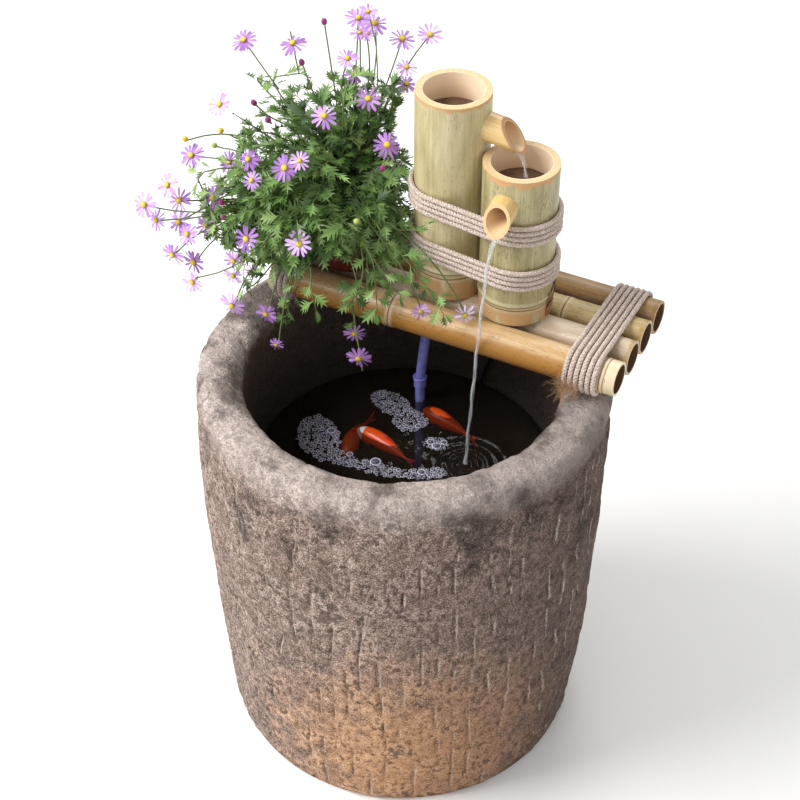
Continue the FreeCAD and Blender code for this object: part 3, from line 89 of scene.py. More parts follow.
def add_node(tree: Tree, kind: str, sockets: dict | None = None,
             stops: Sequence[tuple[float, str]] = (), **settings: object) -> Node:
    """Add one shader node with its settings and links.

    Args:
        tree: the material's node tree.
        kind: the node type's name, without its "ShaderNode".
        sockets: values, nodes or output sockets, by the input's name or number.
        stops: positions and hex colours, where the node is a colour ramp.
        settings: the node's own properties.

    Returns:
        The new node.
    """
    node = tree.nodes.new("ShaderNode" + kind)
    for name, value in settings.items():
        setattr(node, name, value)
    for key, value in (sockets or {}).items():
        socket = node.inputs[key] if isinstance(key, int) else next(
            entry for entry in node.inputs if entry.name == key and entry.enabled)
        if isinstance(value, Node):
            value = next(entry for entry in value.outputs if entry.enabled)
        if isinstance(value, Socket):
            tree.links.new(value, socket)
        else:
            socket.default_value = value
    if stops:
        ramp = node.color_ramp
        while len(ramp.elements) < len(stops):
            ramp.elements.new(0.5)
        for element, (position, shade) in zip(ramp.elements, stops):
            element.position = position
            element.color = linear(shade)
    return node


@dataclass(frozen=True)
class Finish:
    """What a surface is made of and how it was finished."""

    name: str
    roughness: float = 0.5
    ior: float = 1.5

    def material(self) -> bpy.types.Material:
        """Build this finish's material, or find it if another piece has it already."""
        found = bpy.data.materials.get(self.name)
        if found:
            return found
        material = bpy.data.materials.new(self.name)
        material.use_nodes = True
        tree = material.node_tree
        tree.nodes.clear()
        shader = add_node(tree, "BsdfPrincipled", {"Roughness": self.roughness, "IOR": self.ior})
        add_node(tree, "OutputMaterial", {"Surface": shader})
        self.lay(tree, shader, add_node(tree, "TexCoord").outputs["Object"])
        return material

    def lay(self, tree: Tree, shader: Node, place: Socket) -> None:
        """Lay this finish's colour and relief on the shader."""
        raise NotImplementedError

    def grain(self, place: Node | Socket, size: float, stretch: Place = (1.0, 1.0, 1.0),
              detail: float = 4.0, shift: float = 0.0) -> Node:
        """Noise with blotches of a real size.

        Args:
            place: where the pattern reads its coordinates.
            size: a blotch's width in millimetres.
            stretch: how many times longer it is along each axis.
            detail: how many finer layers it has.
            shift: moves the pattern, so that two pieces differ.

        Returns:
            The noise node, whose first output runs from 0 to 1.
        """
        tree = place.id_data
        scale = tuple(1.0 / (size * MM * along) for along in stretch)
        mapping = add_node(tree, "Mapping", {
            "Vector": place, "Location": (shift, shift * 1.7, shift * 0.6), "Scale": scale})
        return add_node(tree, "TexNoise",
                        {"Vector": mapping, "Scale": 1.0, "Detail": detail, "Roughness": 0.6})

    def emboss(self, shader: Node, height: Node, depth: float, under: Node | None = None) -> Node:
        """Raise the surface by a pattern, over an earlier relief if there is one.

        Args:
            shader: the shader that gets the relief.
            height: the pattern, from 0 to 1.
            depth: its height in millimetres.
            under: an earlier relief.

        Returns:
            The bump node.
        """
        sockets = {"Height": height, "Distance": depth * MM, "Strength": 1.0}
        if under is not None:
            sockets["Normal"] = under
        bump = add_node(shader.id_data, "Bump", sockets)
        shader.id_data.links.new(bump.outputs["Normal"], shader.inputs["Normal"])
        return bump

    def tinge(self, under: object, shade: object, share: Node, blend: str = "MIX") -> Socket:
        """Lay a colour, as hex or from a node, over another where a mask says."""
        colour = linear(shade) if isinstance(shade, str) else shade
        mix = add_node(share.id_data, "Mix", {"Factor": share, "A": under, "B": colour},
                       data_type="RGBA", blend_type=blend)
        return mix.outputs[2]


@dataclass(frozen=True)
class HewnStone(Finish):
    """Sandstone, cut by chisel: grainy and dull, with bright-edged strokes and dark stains, and
    painted shade and highlight over its relief.

    The piece's tint is below a half in a stroke's groove, where it lays painted shade, and above it
    on the bruised edge, where it lays the bruise's pale colour with painted highlight.
    Sizes of its patterns are in millimetres, and places in metres.
    """

    speck_size: float = 1.6
    chip_size: float = 7.0
    lump_size: float = 30.0
    blot_size: float = 60.0
    speck_depth: float = 2.0
    chip_depth: float = 6.0
    lump_depth: float = 5.0
    # The grain, from its darkest to where the chisel bruised it
    dark: str = "#4a3b33"
    body: str = "#826c60"
    pale: str = "#ac9488"
    bruise: str = "#dccbbf"
    rust: tuple[str, str, str] = ("#7a5539", "#cf9a6a", "#f3c49c")
    # What darkens the side away from the light as painted shade and darkens the blots, and what
    # brightens the rim's top as a painted highlight
    painted_side_shade: str = "#a69d98"
    stain: str = "#a3a09e"
    painted_rim_light: str = "#98908b"
    # The bore's wall below the mark that the water left on it, and the painted shade that darkens
    # it further down
    painted_bore_shade: str = "#362c26"
    wet: str = "#45382f"
    wet_pale: str = "#6a594b"
    rust_at: Place = (0.105, -0.190, 0.085)
    rust_reach: float = 0.23
    painted_shade_side: Place = (0.893, 0.449, 0.0)
    bore_radius: float = 0.180
    wet_top: float = 0.492

    def lay(self, tree: Tree, shader: Node, place: Socket) -> None:
        """Grain, chips, lumps, blots, rust, chisel marks and a wet bore, with painted shade and
        highlight.
        """
        # Sand's grains are about 0.3 mm wide, and are drawn coarser so that they show
        speck = self.grain(place, self.speck_size, detail=5.0)
        chips = self.grain(place, self.chip_size, detail=3.0, shift=8.0)
        lumps = self.grain(place, self.lump_size, detail=4.0)
        tone = add_node(tree, "Math", {0: speck, 1: 1.8}, operation="MULTIPLY")
        tone = add_node(tree, "Math", {0: lumps, 1: 0.6, 2: tone}, operation="MULTIPLY_ADD")
        # Chips darken the tone where their bump sinks the stone and pale it where the stone stands:
        # painted shade and highlight of the chips
        tone = add_node(tree, "Math", {0: chips, 1: -0.7, 2: tone}, operation="MULTIPLY_ADD")
        tone = add_node(tree, "Math", {0: tone, 1: 0.35}, operation="SUBTRACT")
        base = add_node(tree, "ValToRGB", {"Fac": tone}, stops=(
            (0.20, self.dark), (0.42, self.body), (0.60, self.pale), (0.82, self.bruise)))
        # The stroke tint lays painted shade in each groove, and on each stroke's one lit edge the
        # bruise's pale colour with painted highlight
        stroke = add_node(tree, "Attribute", attribute_name="tint").outputs["Fac"]
        bruise_and_painted_light = add_node(tree, "MapRange", {
            "Value": stroke, "From Min": 0.55, "From Max": 0.9, "To Max": 0.8})
        broken = add_node(tree, "MapRange", {"Value": speck, "From Min": 0.38, "From Max": 0.52})
        bruise_and_painted_light = add_node(tree, "Math", {0: bruise_and_painted_light, 1: broken}, operation="MULTIPLY")
        groove = add_node(tree, "MapRange", {
            "Value": stroke, "From Min": 0.45, "From Max": 0.05, "To Max": 0.5})
        away = add_node(tree, "VectorMath", {0: place, 1: self.rust_at}, operation="DISTANCE")
        away = add_node(tree, "Math", {0: lumps, 1: -0.30, 2: away.outputs["Value"]},
                        operation="MULTIPLY_ADD")
        rust = add_node(tree, "MapRange", {
            "Value": away, "From Min": self.rust_reach - 0.15,
            "From Max": self.rust_reach * 0.15 - 0.15, "To Max": 0.9},
            interpolation_type="SMOOTHSTEP")
        rusty = add_node(tree, "ValToRGB", {"Fac": tone}, stops=(
            (0.15, self.rust[0]), (0.45, self.rust[1]), (0.80, self.rust[2])))
        pits = add_node(tree, "Math", {0: lumps, 1: 0.9, 2: chips}, operation="MULTIPLY_ADD")
        pits = add_node(tree, "MapRange", {
            "Value": pits, "From Min": 1.02, "From Max": 1.14, "To Max": 0.7})
        shade = self.tinge(base, rusty, rust)
        # Painted shade: the stone darkens, over a wavy edge, towards the side that faces away from
        # the key light
        side = add_node(tree, "VectorMath", {0: place, 1: self.painted_shade_side}, operation="DOT_PRODUCT")
        side = add_node(tree, "Math", {0: lumps, 1: 0.10, 2: side.outputs["Value"]},
                        operation="MULTIPLY_ADD")
        painted_side_shade = add_node(tree, "MapRange", {"Value": side, "From Min": 0.01, "From Max": 0.22})
        shade = self.tinge(shade, self.painted_side_shade, painted_side_shade, "MULTIPLY")
        shade = self.tinge(shade, self.dark, pits)
        shade = self.tinge(shade, self.bruise, bruise_and_painted_light)
        shade = self.tinge(shade, self.dark, groove)
        parts = add_node(tree, "SeparateXYZ", {"Vector": place})
        # Painted highlight: the rim's top is screened paler, where the light from above falls on it
        painted_rim_light = add_node(tree, "MapRange", {
            "Value": parts.outputs[2], "From Min": 0.455, "From Max": 0.490, "To Max": 0.9})
        shade = self.tinge(shade, self.painted_rim_light, painted_rim_light, "SCREEN")
        blot = self.grain(place, self.blot_size, detail=6.0, shift=4.0)
        high = add_node(tree, "MapRange", {
            "Value": parts.outputs[2], "From Min": 0.10, "From Max": 0.50,
            "To Min": -0.12, "To Max": 0.09})
        blot = add_node(tree, "Math", {0: blot, 1: high}, operation="ADD")
        blot = add_node(tree, "MapRange", {
            "Value": blot, "From Min": 0.56, "From Max": 0.72}, interpolation_type="SMOOTHSTEP")
        shade = self.tinge(shade, self.stain, blot, "MULTIPLY")
        level = add_node(tree, "CombineXYZ", {0: parts.outputs[0], 1: parts.outputs[1]})
        spread = add_node(tree, "VectorMath", {0: level}, operation="LENGTH")
        inside = add_node(tree, "MapRange", {
            "Value": spread.outputs["Value"], "From Min": self.bore_radius + 0.006,
            "From Max": self.bore_radius - 0.006}, interpolation_type="SMOOTHSTEP")
        wavy = add_node(tree, "Math", {0: lumps, 1: 0.03, 2: parts.outputs[2]},
                        operation="MULTIPLY_ADD")
        sunk = add_node(tree, "MapRange", {
            "Value": wavy, "From Min": self.wet_top + 0.016, "From Max": self.wet_top - 0.014},
            interpolation_type="SMOOTHSTEP")
        soaked = add_node(tree, "Math", {0: inside, 1: sunk}, operation="MULTIPLY")
        slime = add_node(tree, "ValToRGB", {"Fac": tone}, stops=(
            (0.30, self.wet), (0.75, self.wet_pale)))
        # Painted shade: the bore's wall darkens further down, towards the water
        lower = add_node(tree, "MapRange", {
            "Value": wavy, "From Min": self.wet_top - 0.02, "From Max": self.wet_top - 0.11,
            "To Max": 0.9})
        slime = self.tinge(slime, self.painted_bore_shade, lower)
        tree.links.new(self.tinge(shade, slime, soaked), shader.inputs["Base Color"])
        gloss = add_node(tree, "MapRange", {
            "Value": soaked, "To Min": self.roughness, "To Max": 0.5})
        tree.links.new(gloss.outputs[0], shader.inputs["Roughness"])
        rough = self.emboss(shader, lumps, self.lump_depth)
        rough = self.emboss(shader, chips, -self.chip_depth, rough)
        self.emboss(shader, speck, self.speck_depth, rough)


@dataclass(frozen=True)
class Bamboo(Finish):
    """A bamboo culm: hard waxy skin with fine lengthwise streaks, scraped and cut at its ends.

    Attributes:
        start: a point on its axis, in metres.
        way: the axis's direction, from its low end to its mouth.
        radius: the skin's radius, in metres.
        wall: how thick it is, in metres.
        skin: three colours of the streaks, from dark to pale.
        flank: a darker colour for the lower side of a lying cane, painted shade under its paler
            top, if it differs.
        rings: places of its nodes along the axis, in metres from start.
        ends: cut planes, each a direction out of the end and its distance from the origin.
        scraped: how far the skin is scraped from an end, in metres.
        bare_rings: whether the bark is scraped off under each ring.
        flecks: how many dark flecks it has, from 0 to 1.
        cut: the cut face's colour.
        scrape: the colour where the skin is scraped.
        bore: the hollow's colour near its mouth, and deep is a darker colour further in, painted
            shade of the hollow.
        shift: moves its pattern, so that two culms differ.
        fleck: the flecks' colour, as bare is under a scraped ring and groove in the ring.
    """

    start: Place = (0.0, 0.0, 0.0)
    way: Place = (0.0, 0.0, 1.0)
    radius: float = 0.040
    wall: float = 0.008
    skin: tuple[str, str, str] = ("#9c966a", "#b8b283", "#d2cca0")
    flank: str = ""
    rings: tuple[float, ...] = ()
    ends: tuple[tuple[Place, float], ...] = ()
    scraped: float = 0.007
    bare_rings: bool = False
    flecks: float = 0.0
    cut: str = "#e3cba0"
    scrape: str = "#c99b68"
    bore: str = "#f2dabc"
    deep: str = "#bf9a7c"
    shift: float = 0.0
    fleck: str = "#5a3c22"
    bare: str = "#bd9668"
    groove: str = "#6b4526"

    def lay(self, tree: Tree, shader: Node, place: Socket) -> None:
        """Streaks of 1.6 mm, 60 times as long, blotches of 15 mm, and rings at the nodes."""
        # Real fibres are about 0.3 mm wide, and are drawn coarser so that they show
        turn = Vector(self.way).rotation_difference(UP)
        shifted = add_node(tree, "Mapping", {
            "Vector": place, "Rotation": tuple(turn.to_euler()),
            "Location": tuple(-(turn @ Vector(self.start)))})
        parts = add_node(tree, "SeparateXYZ", {"Vector": shifted})
        along = parts.outputs[2]
        flat = add_node(tree, "CombineXYZ", {0: parts.outputs[0], 1: parts.outputs[1]})
        spread = add_node(tree, "VectorMath", {0: flat}, operation="LENGTH")
        streak = self.grain(shifted, 1.6, (1.0, 1.0, 60.0), 3.0, self.shift)
        blotch = self.grain(shifted, 15.0, (1.0, 1.0, 4.0), 5.0, self.shift + 3.0)
        tone = add_node(tree, "Math", {0: streak, 1: 0.4}, operation="MULTIPLY")
        tone = add_node(tree, "Math", {0: blotch, 1: 0.65, 2: tone}, operation="MULTIPLY_ADD")
        shade = add_node(tree, "ValToRGB", {"Fac": tone}, stops=(
            (0.34, self.skin[0]), (0.54, self.skin[1]), (0.74, self.skin[2]))).outputs[0]
        # Painted shade and highlight: a lying cane's lower side takes the darker colour, and its
        # top keeps the paler skin
        if self.flank:
            height = add_node(tree, "SeparateXYZ", {"Vector": place}).outputs[2]
            low = add_node(tree, "Math", {0: blotch, 1: 0.014, 2: height},
                           operation="MULTIPLY_ADD")
            low = add_node(tree, "MapRange", {
                "Value": low, "From Min": self.start[2] + self.radius * 1.3,
                "From Max": self.start[2] + self.radius * 0.7}, interpolation_type="SMOOTHSTEP")
            shade = self.tinge(shade, self.flank, low)
        if self.flecks:
            fleck = self.grain(shifted, 1.5, (1.0, 1.0, 4.0), 2.0, self.shift + 9.0)
            area = self.grain(shifted, 30.0, detail=1.0, shift=self.shift + 5.0)
            fleck = add_node(tree, "Math", {0: area, 1: 0.35, 2: fleck}, operation="MULTIPLY_ADD")
            fleck = add_node(tree, "MapRange", {
                "Value": fleck, "From Min": 0.86 - 0.10 * self.flecks,
                "From Max": 0.91 - 0.10 * self.flecks, "To Max": 0.45})
            shade = self.tinge(shade, self.fleck, fleck)
        for direction, distance in self.ends:
            past = add_node(tree, "VectorMath", {0: place, 1: direction}, operation="DOT_PRODUCT")
            past = add_node(tree, "Math", {0: past.outputs["Value"], 1: distance},
                            operation="SUBTRACT")
            wavy = add_node(tree, "Math", {0: blotch, 1: self.scraped * 3, 2: past},
                            operation="MULTIPLY_ADD")
            worn = add_node(tree, "MapRange", {
                "Value": wavy, "From Min": self.scraped * 0.75, "From Max": self.scraped * 1.05})
            shade = self.tinge(shade, self.scrape, worn)
            face = add_node(tree, "MapRange", {
                "Value": past, "From Min": -0.0005, "From Max": -0.0002})
            fibre = self.grain(place, 0.8, detail=2.0)
            sawn = add_node(tree, "ValToRGB", {"Fac": fibre}, stops=(
                (0.35, self.scrape), (0.6, self.cut)))
            shade = self.tinge(shade, sawn, face)
        for ring in self.rings:
            shade = self.ring(shade, along, blotch, ring)
        inner = self.radius - self.wall
        hollow = add_node(tree, "MapRange", {
            "Value": spread, "From Min": inner + 0.0009, "From Max": inner + 0.0003})
        # Painted shade: the hollow darkens to the deep colour further in from its mouth
        depth = add_node(tree, "MapRange", {"Value": past, "From Min": -0.06, "From Max": -0.012})
        lining_and_shade = self.tinge(linear(self.deep), self.bore, depth)
        tree.links.new(self.tinge(shade, lining_and_shade, hollow), shader.inputs["Base Color"])
        rough = add_node(tree, "MapRange", {
            "Value": worn, "To Min": self.roughness, "To Max": 0.62})
        tree.links.new(rough.outputs[0], shader.inputs["Roughness"])
        coarse = self.emboss(shader, blotch, 0.5)
        self.emboss(shader, streak, 0.18, coarse)

    def ring(self, shade: Socket, along: Socket, blotch: Node, place: float) -> Socket:
        """Colour one node: a dark groove, and the bark scraped away under it.

        Args:
            shade: the colour so far.
            along: the distance along the axis.
            blotch: noise that makes the edges uneven.
            place: where the node is, along the axis.

        Returns:
            The new colour's socket.
        """
        tree = blotch.id_data
        off = add_node(tree, "Math", {0: along, 1: place}, operation="SUBTRACT")
        off = add_node(tree, "Math", {0: blotch, 1: 0.003, 2: off}, operation="MULTIPLY_ADD")
        off = add_node(tree, "Math", {0: off, 1: 0.0015}, operation="SUBTRACT")
        if self.bare_rings:
            under = add_node(tree, "MapRange", {
                "Value": off, "From Min": -0.0016, "From Max": -0.0026})
            patch = add_node(tree, "MapRange", {
                "Value": blotch, "From Min": 0.62, "From Max": 0.5})
            under = add_node(tree, "Math", {0: under, 1: patch}, operation="MULTIPLY")
            shade = self.tinge(shade, self.bare, under)
        near = add_node(tree, "Math", {0: off}, operation="ABSOLUTE")
        bloom = add_node(tree, "MapRange", {
            "Value": near, "From Min": 0.006, "From Max": 0.002, "To Max": 0.5},
            interpolation_type="SMOOTHSTEP")
        shade = self.tinge(shade, self.skin[2], bloom)
        groove = add_node(tree, "MapRange", {
            "Value": near, "From Min": 0.0012, "From Max": 0.0005, "To Max": 0.85})
        return self.tinge(shade, self.groove, groove)


@dataclass(frozen=True)
class Mottled(Finish):
    """A plain stuff with a little unevenness, in two tones, such as moulded plastic.

    Attributes:
        tones: its darker and its paler colour.
        size: the width of the unevenness, in millimetres.
        depth: the height of its relief, in millimetres.
        metallic: 1 for bare metal.
        transmission: how much light passes through.
        alpha: how much of it hides what is behind.
        stretch: how many times longer the pattern is along each axis.
        sheen: how much its fine hairs catch the light.
    """

    tones: tuple[str, str] = ("#202022", "#2c2c2f")
    size: float = 4.0
    depth: float = 0.1
    metallic: float = 0.0
    transmission: float = 0.0
    alpha: float = 1.0
    stretch: Place = (1.0, 1.0, 1.0)
    sheen: float = 0.0

    def lay(self, tree: Tree, shader: Node, place: Socket) -> None:
        """Two tones by noise, with the same noise as a shallow relief."""
        mottle = self.grain(place, self.size, self.stretch, 4.0)
        shade = add_node(tree, "ValToRGB", {"Fac": mottle}, stops=(
            (0.35, self.tones[0]), (0.65, self.tones[1])))
        tree.links.new(shade.outputs[0], shader.inputs["Base Color"])
        shader.inputs["Metallic"].default_value = self.metallic
        shader.inputs["Transmission Weight"].default_value = self.transmission
        shader.inputs["Alpha"].default_value = self.alpha
        shader.inputs["Sheen Weight"].default_value = self.sheen
        if self.depth:
            self.emboss(shader, mottle, self.depth)


@dataclass(frozen=True)
class Tinted(Finish):
    """A living surface whose colour follows the piece's own tint attribute.

    Attributes:
        stops: colours by tint, from 0 to 1.
        size: width of the fine mottling, in millimetres.
        depth: height of its relief, in millimetres.
        glow: how much light passes into it.
    """

    stops: tuple[tuple[float, str], ...] = ((0.0, "#2f4a2c"), (1.0, "#7d9a5c"))
    size: float = 1.5
    depth: float = 0.1
    glow: float = 0.0

    def lay(self, tree: Tree, shader: Node, place: Socket) -> None:
        """Colour by tint with a little fine mottling."""
        tint = add_node(tree, "Attribute", attribute_name="tint")
        mottle = self.grain(place, self.size, detail=3.0)
        mixed = add_node(tree, "Math", {0: mottle, 1: 0.16, 2: tint.outputs["Fac"]},
                         operation="MULTIPLY_ADD")
        mixed = add_node(tree, "Math", {0: mixed, 1: 0.08}, operation="SUBTRACT")
        shade = add_node(tree, "ValToRGB", {"Fac": mixed}, stops=self.stops)
        tree.links.new(shade.outputs[0], shader.inputs["Base Color"])
        if self.glow:
            shader.inputs["Subsurface Weight"].default_value = self.glow
            shader.inputs["Subsurface Scale"].default_value = 0.002
        self.emboss(shader, mottle, self.depth)


# Finishes that several pieces share, and what each gives the eye

# Dull, hairy plant fibre, beige with a pink cast
JUTE = Mottled("twisted_jute", 0.9, tones=("#8f7665", "#ffefe2"), size=1.0, depth=0.9, sheen=0.3)
# Single fibres that stand off the rope, a little paler
JUTE_HAIR = Mottled("jute_hair", 0.9, tones=("#b8a28e", "#e0cfbf"), size=2.0, depth=0.0)
# The rope's opened end, browner and dull
JUTE_FRAY = Mottled("frayed_jute", 0.9, tones=("#8a6444", "#c9a47c"), size=3.0, depth=0.0)
# Soft, glossy and half see-through, with a violet-blue cast
HOSE = Mottled("tinted_pvc_hose", 0.22, 1.53, tones=("#8c92f4", "#b2b6ff"), size=9.0,
               depth=0.05, transmission=0.2)
# Near black, with a faint even shine
PUMP_CASE = Mottled("moulded_abs_black", 0.42, 1.53, tones=("#17171a", "#222226"), size=0.8,
                    depth=0.04)
# Black, with hardly a shine
RUBBER = Mottled("moulded_nitrile_rubber", 0.62, 1.52, tones=("#141414", "#1f1f20"), size=1.2,
                 depth=0.05)
# Black and smooth, with one soft streak of light along it
CORD_JACKET = Mottled("extruded_pvc_jacket", 0.42, 1.53, tones=("#121214", "#1c1c1f"),
                      size=2.5, depth=0.03)
# Cool white and a little waxy
WHITE_PLASTIC = Mottled("moulded_acetal_white", 0.4, 1.48, tones=("#dcdcd6", "#ecebe6"),
                        size=1.5, depth=0.03)
# Grey metal with fine lines, sheet on sheet
IRON = Mottled("stacked_sheet_iron", 0.5, tones=("#55565a", "#7a7b80"), size=0.7,
               metallic=1.0, stretch=(0.5, 8.0, 8.0))
# Red-brown wire, turn by turn, bright under its varnish
COPPER = Mottled("enamelled_copper_wire", 0.3, tones=("#8a3f1c", "#c8703a"), size=0.6,
                 metallic=1.0, stretch=(0.4, 6.0, 6.0), depth=0.25)
# Flat, dense charcoal grey
FERRITE = Mottled("sintered_ferrite", 0.55, tones=("#242427", "#39393d"), size=0.8)
# Off-white, and ground so fine that it almost mirrors
CERAMIC = Mottled("ground_alumina", 0.3, 1.76, tones=("#dedad0", "#efece4"), size=0.8, depth=0.02)
# Bright grey, with the marks of turning
STEEL = Mottled("turned_stainless_steel", 0.28, tones=("#9a9a9c", "#c4c4c6"), size=0.5,
                metallic=1.0, stretch=(1.0, 1.0, 6.0))
# Dark pores side by side, with no shine at all
SPONGE = Mottled("open_cell_foam", 0.95, tones=("#0f1012", "#34363a"), size=1.4, depth=1.2)
# Dark brick red, a little cloudy, between dull and glossy
POT = Mottled("moulded_terracotta_plastic", 0.5, 1.5, tones=("#4a1710", "#6e281b"), size=7.0,
              depth=0.15)
# Black-brown crumbs
SOIL = Mottled("potting_compost", 0.95, tones=("#120c08", "#3a281b"), size=3.0, depth=2.0)
# Deep green inside the mound and paler outside, as painted shade of the mound, and lit through
LEAF = Tinted("cut_leaf", 0.45, stops=(
    (0.0, "#24381a"), (0.3, "#446128"), (0.6, "#6f8f48"), (1.0, "#a9c078")), depth=0.15,
    glow=0.1)
# Dull green that turns to straw
STALK = Tinted("leafy_stalk", 0.55, stops=((0.0, "#5f6f3a"), (0.6, "#93a060"), (1.0, "#8a7a4a")))
# Soft lilac that lets light through, paler at its root
PETAL = Tinted("lilac_ray", 0.55, stops=(
    (0.0, "#74408f"), (0.35, "#a573bd"), (0.7, "#cb9cdc"), (1.0, "#efdcf4")), depth=0.12,
    glow=0.2)
# A crumbly yellow, mustard at its edge
FLOWER_EYE = Tinted("yellow_florets", 0.7, stops=((0.0, "#937413"), (0.6, "#d4b93a"),
                                                  (1.0, "#eadb6c")), size=0.9, depth=0.6)
# Magenta, or gold where it is spent, and green at its cup
BUD = Tinted("closed_bud", 0.5, stops=((0.0, "#7d1f5e"), (0.3, "#b04a8c"), (0.5, "#d8b52a"),
                                       (0.7, "#c2b23a"), (1.0, "#a9bd6a")), size=1.0)
# Wet and glossy, orange, with one white head
FISH_SKIN = Tinted("goldfish_scales", 0.25, stops=(
    (0.0, "#f1ece2"), (0.16, "#f0e6da"), (0.24, "#ff6c26"), (0.75, "#f24a16"),
    (1.0, "#c43412")), size=2.0, depth=0.15)
# Lilac-white rims of bubbles, wet and bright
FOAM = Mottled("water_foam", 0.25, 1.33, tones=("#c9c6dc", "#f4f2fb"), size=2.0, depth=0.0)
# A glossy skin of water, almost clear
BUBBLE = Mottled("bubble_film", 0.06, 1.33, tones=("#b9b4d2", "#dedaf0"), size=3.0, depth=0.0,
                 alpha=0.22)
# Clear and glossy, and whitish along its fall as a painted highlight
FALLING_WATER = Mottled("falling_water", 0.04, 1.33, tones=("#f2f6f8", "#ffffff"), size=4.0,
                        depth=0.5, transmission=0.5, alpha=0.38, stretch=(1.0, 1.0, 5.0))


def linked(name: str, data: bpy.types.ID) -> Object:
    """Put a new object into the scene."""
    thing = bpy.data.objects.new(name, data)
    bpy.context.scene.collection.objects.link(thing)
    return thing


def blank(shape: Shape, name: str) -> Mesh:
    """Turn an edited shape into a mesh."""
    mesh = bpy.data.meshes.new(name)
    shape.to_mesh(mesh)
    shape.free()
    return mesh


def finish_piece(mesh: Mesh, name: str, finish: Finish, body: Body, smooth: bool = True) -> Object:
    """Make a mesh a finished piece that rides on a body.

    Args:
        mesh: its mesh, already in place.
        name: the piece's name.
        finish: its finish.
        body: what it moves with.
        smooth: whether its faces are shaded smooth.

    Returns:
        The new object.
    """
    mesh.materials.clear()
    mesh.materials.append(finish.material())
    if smooth:
        mesh.shade_smooth()
    piece = linked(name, mesh)
    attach(piece, body.value)
    LOG.info("%s: %d faces", name, len(mesh.polygons))
    return piece


def finish_shape(shape: Shape, name: str, finish: Finish, body: Body,
                 smooth: bool = True) -> Object:
    """Turn an edited shape into a finished piece, as finish_piece does."""
    return finish_piece(blank(shape, name), name, finish, body, smooth)


def drawn_out(name: str, lines: Iterable[Sequence[tuple[Vector, float]]], radius: float,
              sides: int, finish: Finish, body: Body) -> Object:
    """Draw round threads along lines, as one finished piece.

    Args:
        name: the piece's name.
        lines: each line's points, with the share of the radius at each.
        radius: the full radius, in metres.
        sides: 0 gives four sides, and each step two more.
        finish: its finish.
        body: what it moves with.

    Returns:
        The new object.
    """
    curve = bpy.data.curves.new(name, "CURVE")
    curve.dimensions = "3D"
    curve.bevel_depth = radius
    curve.bevel_resolution = sides
    curve.use_fill_caps = True
    for line in lines:
        spline = curve.splines.new("POLY")
        spline.points.add(len(line) - 1)
        for point, (place, share) in zip(spline.points, line):
            point.co = (*place, 1.0)
            point.radius = share
    holder = bpy.data.objects.new(name + "_line", curve)
    mesh = bpy.data.meshes.new_from_object(holder)
    bpy.data.objects.remove(holder)
    mesh.name = name
    return finish_piece(mesh, name, finish, body)


def dress(finish: Finish, *nodes: str) -> None:
    """Give carried-over nodes of the model a finish."""
    for name in nodes:
        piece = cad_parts[name]
        if not piece.material_slots:
            piece.data.materials.append(None)
        for entry in piece.material_slots:
            entry.link = "OBJECT"
            entry.material = finish.material()


def islands(node: str) -> list[list[Vector]]:
    """The corners of each separate solid of a node of the model."""
    shape = bmesh.new()
    shape.from_mesh(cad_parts[node].data)
    bmesh.ops.remove_doubles(shape, verts=shape.verts, dist=1e-6)
    seen: set[bmesh.types.BMVert] = set()
    found = []
    for first in shape.verts:
        if first in seen:
            continue
        seen.add(first)
        group = [first]
        for corner in group:
            for edge in corner.link_edges:
                other = edge.other_vert(corner)
                if other not in seen:
                    seen.add(other)
                    group.append(other)
        found.append([corner.co.copy() for corner in group])
    shape.free()
    return found


def turned(shape: Shape, outline: Sequence[Span], steps: int, centre: Vector) -> None:
    """Turn an outline of radius and height round an upright axis, and close it.

    Args:
        shape: the shape that gets it.
        outline: radius and height of each point, in metres.
        steps: how many segments go round.
        centre: a point on the axis.
    """
    corners = [shape.verts.new(centre + Vector((radius, 0.0, height)))
               for radius, height in outline]
    sides = [shape.edges.new(pair) for pair in zip(corners, corners[1:])]
    bmesh.ops.spin(shape, geom=corners + sides, cent=centre, axis=UP, angle=2 * math.pi,
                   steps=steps, use_merge=True, use_duplicate=False)
    bmesh.ops.remove_doubles(shape, verts=shape.verts, dist=1e-6)
    bmesh.ops.recalc_face_normals(shape, faces=shape.faces)


def rounded(centre: Span, radius: float, start: float, end: float, steps: int) -> list[Span]:
    """Points on an arc of an outline, between two angles in degrees."""
    angles = [math.radians(start + (end - start) * step / steps) for step in range(steps + 1)]
    return [(centre[0] + radius * math.cos(angle), centre[1] + radius * math.sin(angle))
            for angle in angles]


@dataclass
class Camera:
    """The camera, set where the photo was taken from, in degrees and millimetres."""

    azimuth: float = 26.7
    elevation: float = 40.9
    distance: float = 1960.6
    target_height: float = 442.7
    lens: float = 80.375
    sensor: float = 36.0
    # How far the picture's middle is from the target's, as a share of the picture
    aside: float = -0.0041

    def build(self) -> None:
        """Make the camera and look through it."""
        turn, rise = math.radians(self.azimuth), math.radians(self.elevation)
        back = Vector((math.cos(rise) * math.sin(turn), -math.cos(rise) * math.cos(turn),
                       math.sin(rise)))
        data = bpy.data.cameras.new("photo_camera")
        data.lens = self.lens
        data.sensor_width = self.sensor
        data.shift_x = self.aside
        data.clip_end = 20.0
        camera = linked("photo_camera", data)
        camera.location = at(0.0, 0.0, self.target_height) + back * (self.distance * MM)
        camera.rotation_euler = back.to_track_quat("Z", "Y").to_euler()
        bpy.context.scene.camera = camera


